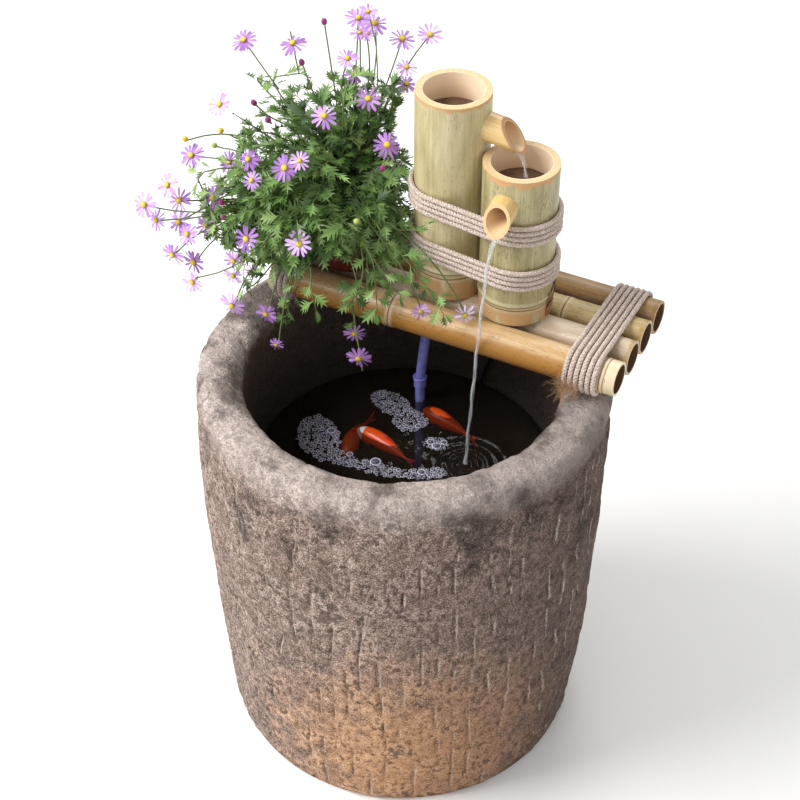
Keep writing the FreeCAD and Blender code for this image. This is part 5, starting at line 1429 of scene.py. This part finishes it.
@dataclass
class BambooWork:
    """The raft's canes, the upright culms and their spouts."""

    cane_axis: float = 522.6
    cane_radius: float = 19.0
    cane_wall: float = 3.2
    right_end: float = 228.0
    culm_foot: float = 541.8
    tall_top: float = 781.3
    short_top: float = 723.3
    culm_radius: float = 40.0
    bark_radius: float = 40.2
    bark_thickness: float = 0.5
    spout_wall: float = 3.2
    # How far a spout's root is inside the culm's skin
    spout_inside: float = 11.0

    def cane(self, node: str, y: float, length: float, nodes: tuple[float, ...],
             **looks: object) -> None:
        """Dress one lying cane.

        Args:
            node: the cane's name in the model.
            y: where its axis lies.
            length: how long it is.
            nodes: its nodes' distances from its right end.
            looks: the fields of its finish that differ.
        """
        ends = (((1.0, 0.0, 0.0), self.right_end * MM),
                ((-1.0, 0.0, 0.0), (length - self.right_end) * MM))
        dress(Bamboo(node + "_skin", looks.pop("roughness", 0.33),
                     start=(0.0, y * MM, self.cane_axis * MM), way=(1.0, 0.0, 0.0),
                     radius=self.cane_radius * MM, wall=self.cane_wall * MM,
                     rings=tuple((self.right_end - distance) * MM for distance in nodes),
                     ends=ends, bore="#c49c70", deep="#64472f", **looks), node)

    def build(self) -> None:
        """Dress the canes, the culms and the spouts."""
        # Each cane's skin is paler on top and its lower side darker: painted highlight and painted
        # shade
        self.cane("raft_cane_front", 48.0, 411.0, (12.0, 16.0, 262.0),
                  skin=("#a77e4e", "#caa777", "#e8d3b4"), flank="#a9793c", flecks=0.6,
                  scraped=0.030, cut="#dccdae", scrape="#d8c6a4", shift=1.0, roughness=0.27)
        self.cane("raft_cane_second", 86.8, 420.0, (150.0, 300.0),
                  skin=("#a08a70", "#c4b096", "#e6d6c2"), flank="#947b5a", flecks=0.4, shift=2.0,
                  cut="#cdb594", scrape="#a88c62", roughness=0.45)
        self.cane("raft_cane_third", 125.6, 415.0, (92.0, 290.0),
                  skin=("#9b8150", "#c2a972", "#e0cd9c"), flank="#967b4a", flecks=0.4, shift=3.0,
                  cut="#cdb594", scrape="#a88c56", roughness=0.4)
        self.cane("raft_cane_back", 164.4, 422.0, (196.0, 366.0),
                  skin=("#7b5c38", "#a58250", "#c6a673"), flank="#6c5245", flecks=0.5,
                  shift=4.0, cut="#c19a62", scrape="#8f683f", roughness=0.4)
        foot = self.culm_foot * MM
        dress(Bamboo("tall_culm_skin", 0.38, start=(0.005, 0.104, foot),
                     skin=("#a4956a", "#c0b287", "#d7cca8"), rings=(0.034, 0.0275),
                     ends=(((0.0, 0.0, 1.0), self.tall_top * MM),), scraped=0.006,
                     bare_rings=True, flecks=0.2, shift=6.0), "tall_culm")
        # The short culm's skin is darker than the tall one's: painted shade, from the tall culm
        # beside it and the light from the left
        dress(Bamboo("short_culm_shaded_skin", 0.38, start=(0.087, 0.09495, foot),
                     skin=("#8a8056", "#aa9f74", "#c9bf98"), rings=(0.024, 0.0195),
                     ends=(((0.0, 0.0, 1.0), self.short_top * MM),), scraped=0.008,
                     bare_rings=True, flecks=1.0, shift=8.0), "short_culm")
        self.flakes()
        self.spout("tall_spout", (5.0, 104.0, 746.8), 15.5, 2.0, 8.0, 28.0, 44.0, "#c3976a", 6.5)
        self.spout("short_spout", (87.0, 94.95, 690.3), 14.7, -91.0, 18.0, 19.0, 38.0,
                   "#dcb686", 2.5)

    def flakes(self) -> None:
        """Torn bark that stands off the short culm's foot on its right."""
        chance = random.Random(2)
        shape = bmesh.new()
        foot = at(87.0, 94.95, self.culm_foot)
        for _ in range(16):
            bearing = math.radians(chance.uniform(-8, 34))
            low, tall = chance.uniform(0.5, 22), chance.uniform(8, 24)
            wide, lift = chance.uniform(5, 12), chance.uniform(0.6, 3.4)
            made = bmesh.ops.create_grid(shape, x_segments=2, y_segments=3, size=0.5)["verts"]
            for corner in made:
                across, up = corner.co.x + 0.5, corner.co.y + 0.5
                turn = bearing + (across - 0.5) * wide / self.culm_radius
                out = self.bark_radius + lift * (up ** 2) \
                    + 0.8 * noise.noise(corner.co * 3 + foot * 90)
                corner.co = foot + Vector((math.cos(turn) * out, math.sin(turn) * out,
                                           low + up * tall * chance.uniform(0.9, 1.0))) * MM
        bmesh.ops.solidify(shape, geom=shape.faces[:], thickness=self.bark_thickness * MM)
        # Dry brown fibres, torn and dull
        bark = Mottled("torn_bark", 0.8, tones=("#6b4829", "#b5875a"), size=2.5, depth=0.4,
                       stretch=(1.0, 1.0, 4.0))
        finish_shape(shape, "torn_bark", bark, Body.FOUNTAIN)

    def spout(self, node: str, centre: Place, radius: float, bearing: float, fall: float,
              reach: float, slant: float, rim: str, shift: float) -> None:
        """Dress one spout, whose mouth is cut on the slant.

        Args:
            node: its name in the model.
            centre: where its axis meets the culm's.
            radius: its radius.
            bearing: the way it points, in degrees from +X.
            fall: how far it tips down, in degrees.
            reach: how far it stands out of the culm.
            slant: how far its mouth leans, in degrees.
            rim: the cut face's colour.
            shift: moves its pattern.
        """
        aim = Matrix.Rotation(math.radians(bearing), 3, "Z") \
            @ Matrix.Rotation(math.radians(90.0 + fall), 3, "Y")
        way = aim @ UP
        mouth_way = aim @ (Matrix.Rotation(math.radians(-slant), 3, "Y") @ UP)
        skin = Vector((math.cos(math.radians(bearing)), math.sin(math.radians(bearing)), 0.0))
        root = Vector(centre) + skin * (self.culm_radius - self.spout_inside) \
            + UP * (self.spout_inside * math.sin(math.radians(fall)))
        mouth = (root + way * (reach + self.spout_inside)) * MM
        dress(Bamboo(node + "_skin", 0.26, start=tuple(root * MM), way=tuple(way),
                     radius=radius * MM, wall=self.spout_wall * MM,
                     skin=("#c9a05c", "#dfbe80", "#efd9a8"),
                     ends=((tuple(mouth_way), mouth_way.dot(mouth)),), scraped=0.0015,
                     cut=rim, scrape=rim, bore="#e2be90", deep="#b07f50", shift=shift), node)


@dataclass
class Pump:
    """The pump, its riser pipe and its small parts."""

    sponge_cuts: int = 22
    sponge_room: float = 0.985
    pore_size: float = 1.3
    pore_depth: float = 0.5

    def build(self) -> None:
        """Dress the carried-over parts and make the sponge."""
        dress(PUMP_CASE, "pump_motor_housing", "pump_motor_cap", "pump_volute_cover",
              "pump_intake_cover")
        dress(IRON, "pump_stator_yoke")
        dress(COPPER, "pump_stator_coil")
        dress(FERRITE, "pump_rotor_magnet")
        dress(WHITE_PLASTIC, "pump_impeller", "pump_flow_dial")
        dress(CERAMIC, "pump_shaft")
        dress(RUBBER, "pump_shaft_bushes", "pump_suction_cups", "pump_cord_tie", "riser_grommet")
        dress(CORD_JACKET, "pump_cord_gland", "pump_plug")
        dress(HOSE, "riser_lower", "riser_upper")
        dress(STEEL, "culm_screws")
        self.sponge()

    def sponge(self) -> None:
        """A block of filter foam with its pores open."""
        low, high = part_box("pump_filter_sponge")
        shape = bmesh.new()
        bmesh.ops.create_cube(shape, size=1.0)
        bmesh.ops.subdivide_edges(shape, edges=shape.edges[:], cuts=self.sponge_cuts,
                                  use_grid_fill=True)
        bmesh.ops.scale(shape, verts=shape.verts, vec=(high - low) * self.sponge_room)
        bmesh.ops.translate(shape, verts=shape.verts, vec=(low + high) / 2)
        shape.normal_update()
        for corner in shape.verts:
            pore = noise.noise(corner.co / (self.pore_size * MM))
            corner.co -= corner.normal * (self.pore_depth * MM * max(0.0, pore))
        foam = finish_shape(shape, "filter_foam", SPONGE, Body.INTAKE)
        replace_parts(foam, "pump_filter_sponge")


class LeafKind(Enum):
    """How deeply a leaf is cut: half width of its rib, and the reach of its lobes."""

    CUT = (0.05, 0.30)
    BROAD = (0.10, 0.24)
    NARROW = (0.045, 0.12)


@dataclass
class Plant:
    """The potted daisies."""

    crown: Place = (-116.0, 98.0, 633.9)
    # Offset from the crown and half widths of each rounded part of the foliage
    lobes: tuple[tuple[Place, Place], ...] = (
        ((-14.0, -10.0, 6.0), (95.0, 90.25, 95.0)),
        ((-76.0, -48.0, -28.0), (57.0, 52.25, 47.5)),
        ((-38.0, -52.0, -12.0), (66.5, 52.25, 62.7)))
    shares: tuple[float, ...] = (0.56, 0.19, 0.25)
    # Where the leaves hang over the pot's right front, beside the tall culm
    skirt: tuple[Place, Place] = ((54.0, -38.0, -18.0), (28.0, 24.0, 44.0))
    twigs: int = 310
    skirt_twigs: int = 30
    # A line's share without leaves, and their spacing and usual length
    mound_leaves: Place = (0.34, 8.5, 25.0)
    inner_leaves: Place = (0.4, 9.5, 22.0)
    trail_leaves: Place = (0.35, 12.0, 21.0)
    tip_leaves: int = 3
    twig_radius: float = 0.8
    stem_radius: float = 0.85
    cup_radius: float = 3.0
    bud_radius: float = 3.4
    bud_half_height: float = 4.2
    lowest: float = 562.0
    # The pot shows below this height in front
    pot_shows: float = 590.0
    pot_half: float = 44.0
    culm: Span = (5.0, 104.0)
    culm_clear: float = 56.0
    pale_head: Place = (54.0, 38.0, 554.0)
    # Offsets from the crown of the buds that are spent and that are green
    spent: tuple[Place, ...] = ((-130.0, -45.0, 55.0), (-160.0, -70.0, 50.0))
    green: tuple[Place, ...] = ((55.0, -85.0, 20.0), (-130.0, -60.0, 45.0),
                                (-25.0, -105.0, -105.0))
    seed: int = 5
    # Shoots that trail over the raft and past the tall culm
    trails: tuple[tuple[Place, ...], ...] = (
        ((-62, 40, 600), (-45, 26, 596), (-28, 22, 583), (-14, 20, 570)),
        ((-60, 44, 640), (-30, 26, 630), (-6, 24, 612), (14, 22, 592), (38, 19, 563)),
        ((-60, 60, 630), (-38, 50, 628), (-16, 48, 634), (2, 46, 648)),
        ((-58, 56, 612), (-32, 44, 606), (-2, 42, 606)),
        ((-64, 34, 612), (-44, 20, 600), (-41, 16, 572), (-38, 14, 540)),
        ((-74, 20, 600), (-58, 8, 578), (-60, 6, 548), (-63, 6, 524)),
        ((-128, 0, 590), (-122, -12, 572), (-130, -14, 546), (-138, -12, 516)),
        ((-112, 2, 584), (-104, -12, 566), (-98, -14, 544)),
        ((-60, 44, 590), (-30, 34, 586), (4, 30, 584), (28, 26, 580)),
        ((-170, -20, 600), (-176, -32, 584), (-172, -38, 562)))

    def leaf_blank(self, kind: LeafKind) -> Mesh:
        """A leaf one unit long, folded along its rib and curled at its tip."""
        rib, lobe = kind.value
        stations = ((0.0, 0.2), (0.24, 0.8), (0.38, 1.0), (0.56, 1.0), (0.74, 0.8))
        shape = bmesh.new()
        middle = [shape.verts.new((0.0, along, 0.0)) for along, _ in stations]
        tip = shape.verts.new((0.0, 1.0, 0.0))
        for side in (-1, 1):
            edge = [shape.verts.new((side * rib * share, along, 0.0)) for along, share in stations]
            for index in range(len(stations) - 1):
                shape.faces.new((middle[index], edge[index], edge[index + 1], middle[index + 1]))
            shape.faces.new((middle[-1], edge[-1], tip))
            for index, reach in ((1, 1.0), (2, 1.0), (3, 0.7)):
                along = stations[index][0]
                outer = shape.verts.new((side * (rib + lobe * reach), along + 0.30, 0.0))
                shape.faces.new((edge[index], outer, edge[index + 1]))
        for corner in shape.verts:
            corner.co.z = 0.32 * abs(corner.co.x) - 0.20 * corner.co.y ** 2
        bmesh.ops.recalc_face_normals(shape, faces=shape.faces)
        return blank(shape, "leaf_" + kind.name.lower())

    def bent(self, points: Sequence[Vector], count: int) -> list[Vector]:
        """A smooth line through a few points, by repeated halving of its corners."""
        line = list(points)
        while len(line) < count:
            cut = [line[0]]
            for first, second in zip(line, line[1:]):
                cut += [first.lerp(second, 0.25), first.lerp(second, 0.75)]
            line = cut + [line[-1]]
        return line

    def add_leaf(self, leaves: Swarm, blanks: dict[LeafKind, Mesh],
                 chance: random.Random, place: Vector, way: Vector, up: Vector,
                 size: float) -> None:
        """Set one leaf.

        Args:
            leaves: the swarm that gets it.
            blanks: the leaves to copy.
            chance: the seeded random source.
            place: where its stalk starts, in millimetres.
            way: the way it points.
            up: the way its face looks, roughly.
            size: its length in millimetres.
        """
        kind = chance.choices(list(LeafKind), (0.6, 0.22, 0.18))[0]
        along = way.normalized()
        face = (up - along * up.dot(along)).normalized()
        across = along.cross(face)
        turn = Matrix((across, along, face)).transposed().to_4x4()
        # Painted shade: leaves nearer the crown get a lower tint, and so a darker green
        depth = min(1.0, max(0.0, (place - Vector(self.crown)).length / 120.0))
        tint = min(1.0, max(0.0, chance.gauss(0.22 + 0.34 * depth, 0.15)))
        leaves.add(blanks[kind], Matrix.Translation(place * MM) @ turn
                   @ Matrix.Diagonal((size * MM, size * MM, size * MM, 1.0)), tint)

    def leafy(self, leaves: Swarm, blanks: dict[LeafKind, Mesh],
              chance: random.Random, line: Sequence[Vector], bare: float,
              spacing: float, size: float) -> None:
        """Set leaves along a twig, turn by turn on either side.

        Args:
            leaves: the swarm that gets them.
            blanks: the leaves to copy.
            chance: the seeded random source.
            line: the twig's points, in millimetres.
            bare: the share of it, from its root, that has no leaves.
            spacing: how far apart they are, in millimetres.
            size: a leaf's usual length, in millimetres.
        """
        lengths = [(second - first).length for first, second in zip(line, line[1:])]
        whole = sum(lengths)
        due, passed, side = whole * bare, 0.0, 1
        for first, second, length in zip(line, line[1:], lengths):
            while passed + length >= due:
                place = first.lerp(second, (due - passed) / length)
                way = (second - first).normalized()
                out = (place - Vector(self.crown)).normalized()
                across = way.cross(out)
                if across.length < 0.1:
                    across = way.cross(UP)
                across.normalize()
                scatter = Vector([chance.uniform(-0.35, 0.35) for _ in range(3)])
                leaf_way = way * 0.65 + across * (0.85 * side) + out * 0.25 + scatter
                self.add_leaf(leaves, blanks, chance, place, leaf_way,
                              out * 0.6 + UP * 0.6 + scatter, size * chance.uniform(0.7, 1.2))
                due += spacing * chance.uniform(0.7, 1.3)
                side = -side
            passed += length
        way = (line[-1] - line[-2]).normalized()
        for _ in range(self.tip_leaves):
            scatter = Vector([chance.uniform(-0.6, 0.6) for _ in range(3)])
            self.add_leaf(leaves, blanks, chance, line[-1], way + scatter,
                          UP + scatter, size * chance.uniform(0.6, 0.9))

    def tapered(self, line: Sequence[Vector]) -> list[tuple[Vector, float]]:
        """A line's points in metres, with the share of its radius at each."""
        return [(place * MM, 1.0 - 0.5 * index / len(line)) for index, place in enumerate(line)]

    def foliage(self) -> None:
        """Grow the mound twig by twig, and the shoots that trail from it."""
        chance = random.Random(self.seed)
        blanks = {kind: self.leaf_blank(kind) for kind in LeafKind}
        crown = Vector(self.crown)
        leaves = Swarm()
        stalks = []
        made = 0
        while made < self.twigs + self.skirt_twigs:
            offset, radii = chance.choices(self.lobes, self.shares)[0]
            if made >= self.twigs:
                offset, radii = self.skirt
            way = Vector([chance.gauss(0, 1) for _ in range(3)]).normalized()
            share = chance.uniform(0.62, 1.0) ** 0.5 * chance.uniform(0.86, 1.04)
            if way.z > 0.1 and chance.random() < 0.3:
                share *= 1.14
            tip = crown + Vector(offset) + Vector(
                [part * radius * share for part, radius in zip(way, radii)])
            beside = math.hypot(tip.x - self.culm[0], tip.y - self.culm[1])
            in_front = tip.y < self.crown[1] and abs(tip.x - self.crown[0]) < self.pot_half
            lowest = self.pot_shows if in_front else self.lowest
            if tip.z < lowest or beside < self.culm_clear:
                continue
            made += 1
            root = crown + Vector((chance.uniform(-18, 18), chance.uniform(-18, 18),
                                   chance.uniform(-6, 12)))
            middle = root.lerp(tip, 0.5) + UP * chance.uniform(0, 26)
            line = self.bent((root, middle, tip), 9)
            stalks.append(self.tapered(line))
            self.leafy(leaves, blanks, chance, line, *self.mound_leaves)
        for line in self.inner_lines(chance):
            self.leafy(leaves, blanks, chance, line, *self.inner_leaves)
        for trail in self.trails:
            line = self.bent([Vector(place) for place in trail], 12)
            stalks.append(self.tapered(line))
            self.leafy(leaves, blanks, chance, line, *self.trail_leaves)
        mound = finish_shape(leaves.whole(), "daisy_leaves", LEAF, Body.PLANTER, smooth=False)
        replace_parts(mound, "foliage")
        drawn_out("daisy_twigs", stalks, self.twig_radius * MM, 0, STALK,
                          Body.PLANTER)

    def petal_blank(self) -> Mesh:
        """A flat ray one unit long and one unit wide, notched at its tip."""
        shape = bmesh.new()
        stations = ((0.0, 0.24), (0.35, 0.42), (0.72, 0.50), (1.0, 0.30))
        rows = [[shape.verts.new((side * half, along, 0.0)) for side in (-1, 0, 1)]
                for along, half in stations]
        rows[-1][1].co.y = 0.93
        for near, far in zip(rows, rows[1:]):
            for side in (0, 1):
                shape.faces.new((near[side], near[side + 1], far[side + 1], far[side]))
        bmesh.ops.recalc_face_normals(shape, faces=shape.faces)
        return blank(shape, "petal_blank")

    def eye_blank(self) -> Mesh:
        """A domed disc of florets, of unit radius."""
        shape = bmesh.new()
        bmesh.ops.create_icosphere(shape, subdivisions=2, radius=1.0)
        for corner in shape.verts:
            bump = 1.0 + 0.10 * noise.noise(corner.co * 3.5)
            corner.co = Vector((corner.co.x * bump, corner.co.y * bump,
                                corner.co.z * (0.55 if corner.co.z > 0 else 0.35)))
        return blank(shape, "eye_blank")

    def heads(self) -> None:
        """Model each daisy head where the model has one."""
        chance = random.Random(self.seed + 1)
        petal, eye = self.petal_blank(), self.eye_blank()
        petals, eyes, cups = Swarm(), Swarm(), []
        look = Vector((0.25, -0.6, 0.5))
        for corners in islands("daisy_rays"):
            centre = sum(corners, Vector()) / len(corners)
            spread = np.array([corner - centre for corner in corners])
            facing = Vector(np.linalg.eigh(spread.T @ spread)[1][:, 0])
            facing *= 1.0 if facing.dot(look) > 0 else -1.0
            radius = max((corner - centre).length for corner in corners)
            turn = facing.to_track_quat("Z", "Y").to_matrix().to_4x4()
            placed = Matrix.Translation(centre) @ turn
            count = chance.choice((12, 13, 13, 14, 15))
            mood = chance.choice((0.30, 0.48, 0.55, 0.62, 0.7))
            if (centre / MM - Vector(self.pale_head)).length < 14:
                mood = 0.95
            droop = chance.uniform(-0.30, 0.12)
            for number in range(count):
                spin = 2 * math.pi * (number + chance.uniform(-0.2, 0.2)) / count
                length = radius * chance.uniform(0.82, 1.02)
                width = radius * chance.uniform(0.17, 0.25)
                tilt = droop + chance.uniform(-0.14, 0.14)
                ray = (placed @ Matrix.Rotation(spin, 4, "Z")
                       @ Matrix.Rotation(tilt, 4, "X")
                       @ Matrix.Translation((0.0, radius * 0.12, 0.0))
                       @ Matrix.Rotation(chance.uniform(-0.5, 0.5), 4, "Y")
                       @ Matrix.Diagonal((width, length * 0.88, length, 1.0)))
                shade = mood + chance.uniform(-0.08, 0.08)
                petals.add(petal, ray,
                           lambda corner, shade=shade: shade + 0.22 * (1 - corner.y) - 0.05)
            disc = radius * 0.24
            eyes.add(eye, placed @ Matrix.Translation((0.0, 0.0, 0.0012))
                     @ Matrix.Diagonal((disc, disc, disc, 1.0)),
                     lambda corner: 0.75 - 0.6 * math.hypot(corner.x, corner.y) ** 4)
            cups.append([(centre - facing * 0.0004, 1.0), (centre - facing * 0.0016, 0.9),
                         (centre - facing * 0.0034, 0.42)])
        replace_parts(finish_shape(petals.whole(), "lilac_rays", PETAL, Body.PLANTER), "daisy_rays")
        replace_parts(finish_shape(eyes.whole(), "yellow_eyes", FLOWER_EYE, Body.PLANTER),
                    "daisy_discs")
        drawn_out("flower_cups", cups, self.cup_radius * MM, 2, STALK, Body.PLANTER)

    def buds(self) -> None:
        """Model the closed buds and the spent heads."""
        shape = bmesh.new()
        crown = Vector(self.crown)
        ball = bmesh.new()
        bmesh.ops.create_uvsphere(ball, u_segments=14, v_segments=10, radius=1.0)
        for corner in ball.verts:
            pleat = 1.0 - 0.08 * abs(math.sin(math.atan2(corner.co.y, corner.co.x) * 5))
            corner.co.x *= pleat
            corner.co.y *= pleat
        pattern = blank(ball, "bud_blank")
        for corners in islands("flower_buds"):
            centre = sum(corners, Vector()) / len(corners)
            offset = centre / MM - crown
            tint, squat = 0.1, 1.18
            if any((offset - Vector(place)).length < 6 for place in self.spent):
                tint, squat = 0.52, 0.85
            elif any((offset - Vector(place)).length < 6 for place in self.green):
                tint, squat = 0.95, 0.95
            facing = (offset.normalized() * 0.5 + Vector((0.25, -0.55, 0.6))).normalized()
            turn = facing.to_track_quat("Z", "Y").to_matrix().to_4x4()
            wide = self.bud_radius * MM
            stamp(shape, pattern, Matrix.Translation(centre) @ turn
                  @ Matrix.Diagonal((wide, wide, self.bud_half_height * MM * squat, 1.0)),
                  lambda corner, tint=tint: 0.8 if corner.z < -0.45 else tint)
        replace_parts(finish_shape(shape, "daisy_buds", BUD, Body.PLANTER), "flower_buds")

    def stem_lines(self) -> list[list[Vector]]:
        """Each flower stem's middle line in the model, from its root to its head."""
        crown = Vector(self.crown) * MM
        lines = []
        for corners in islands("flower_stems"):
            rows = min(9, max(2, len(corners) // 24))
            spread = np.array([corner - corners[0] for corner in corners])
            order = np.linalg.norm(spread, axis=1).argsort()
            middles = [sum((corners[index] for index in part), Vector()) / len(part)
                       for part in np.array_split(order, rows)]
            line = [middles[0] + (middles[0] - middles[1]) * 0.5] + middles[1:-1]
            line.append(middles[-1] + (middles[-1] - middles[-2]) * 0.5)
            if (line[0] - crown).length > (line[-1] - crown).length:
                line.reverse()
            lines.append(line)
        return lines

    def inner_lines(self, chance: random.Random) -> list[list[Vector]]:
        """How each long flower stem goes on into the crown, in millimetres."""
        crown = Vector(self.crown)
        lines = []
        for stem in self.stem_lines():
            root, way = stem[0] / MM, (stem[0] - stem[1]).normalized()
            if (stem[-1] - stem[0]).length < 14 * MM:
                continue
            start = crown + Vector((chance.uniform(-16, 16), chance.uniform(-16, 16),
                                    chance.uniform(-4, 10)))
            bend = root + way * (0.4 * (root - start).length)
            lines.append(self.bent((start, bend, root), 9) + [stem[1] / MM])
        return lines

    def stems(self) -> None:
        """Draw each flower's stem along the model's, and on into the crown."""
        lines = [[(place, 1.0) for place in line] for line in self.stem_lines()]
        lines += [[(place * MM, 1.0) for place in line]
                  for line in self.inner_lines(random.Random(self.seed))]
        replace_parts(drawn_out("flower_stalks", lines, self.stem_radius * MM, 1, STALK,
                              Body.PLANTER), "flower_stems")

    def build(self) -> None:
        """Grow the plant in its pot."""
        dress(POT, "plant_pot")
        dress(SOIL, "potting_soil")
        self.foliage()
        self.heads()
        self.buds()
        self.stems()


@dataclass
class Studio:
    """A pale floor and soft light."""

    floor_half: float = 6.0
    floor_top: float = -0.5
    floor_tones: tuple[str, str] = ("#f4f3f0", "#f6f5f3")
    sky: str = "#f7f8fa"
    sky_power: float = 0.68
    # Name, place, width and power of each soft light, in metres and watts
    lights: tuple[tuple[str, Place, float, float], ...] = (
        ("key_light", (-2.1, -1.4, 2.9), 2.3, 150.0),
        ("fill_light", (2.2, -1.6, 1.4), 2.0, 8.0),
        ("back_light", (-0.6, 2.0, 2.6), 1.6, 26.0))

    def light(self, name: str, place: Place, size: float, power: float) -> None:
        """Hang one soft light that looks at the basin's rim."""
        data = bpy.data.lights.new(name, "AREA")
        data.shape = "DISK"
        data.size = size
        data.energy = power
        lamp = linked(name, data)
        lamp.location = place
        lamp.rotation_euler = (Vector(place) - at(0, 0, 450)).to_track_quat("Z", "Y") \
            .to_euler()

    def build(self) -> None:
        """Lay the floor and hang the lights."""
        shape = bmesh.new()
        bmesh.ops.create_grid(shape, x_segments=1, y_segments=1, size=self.floor_half)
        bmesh.ops.translate(shape, verts=shape.verts, vec=at(0, 0, self.floor_top))
        mesh = blank(shape, "studio_floor")
        # Matt white paper, just off white
        mesh.materials.append(Mottled("studio_paper", 0.9, tones=self.floor_tones, size=400.0,
                                      depth=0.0).material())
        floor = linked("studio_floor", mesh)
        for light in self.lights:
            self.light(*light)
        world = bpy.data.worlds.new("studio_air")
        world.use_nodes = True
        air = world.node_tree.nodes["Background"]
        air.inputs["Color"].default_value = linear(self.sky)
        air.inputs["Strength"].default_value = self.sky_power
        bpy.context.scene.world = world
        bpy.context.scene.view_settings.view_transform = "Standard"


def main() -> None:
    """Build every sub-assembly in order."""
    logging.basicConfig(level=logging.INFO, format="%(relativeCreated)d ms %(message)s")
    for assembly in (Camera(), PumpCord(), Basin(), BambooWork(), Ropes(), Pump(), Water(),
                     Fish(), Plant(), Studio()):
        LOG.info("building %s", type(assembly).__name__)
        assembly.build()


if __name__ == "__main__":
    main()
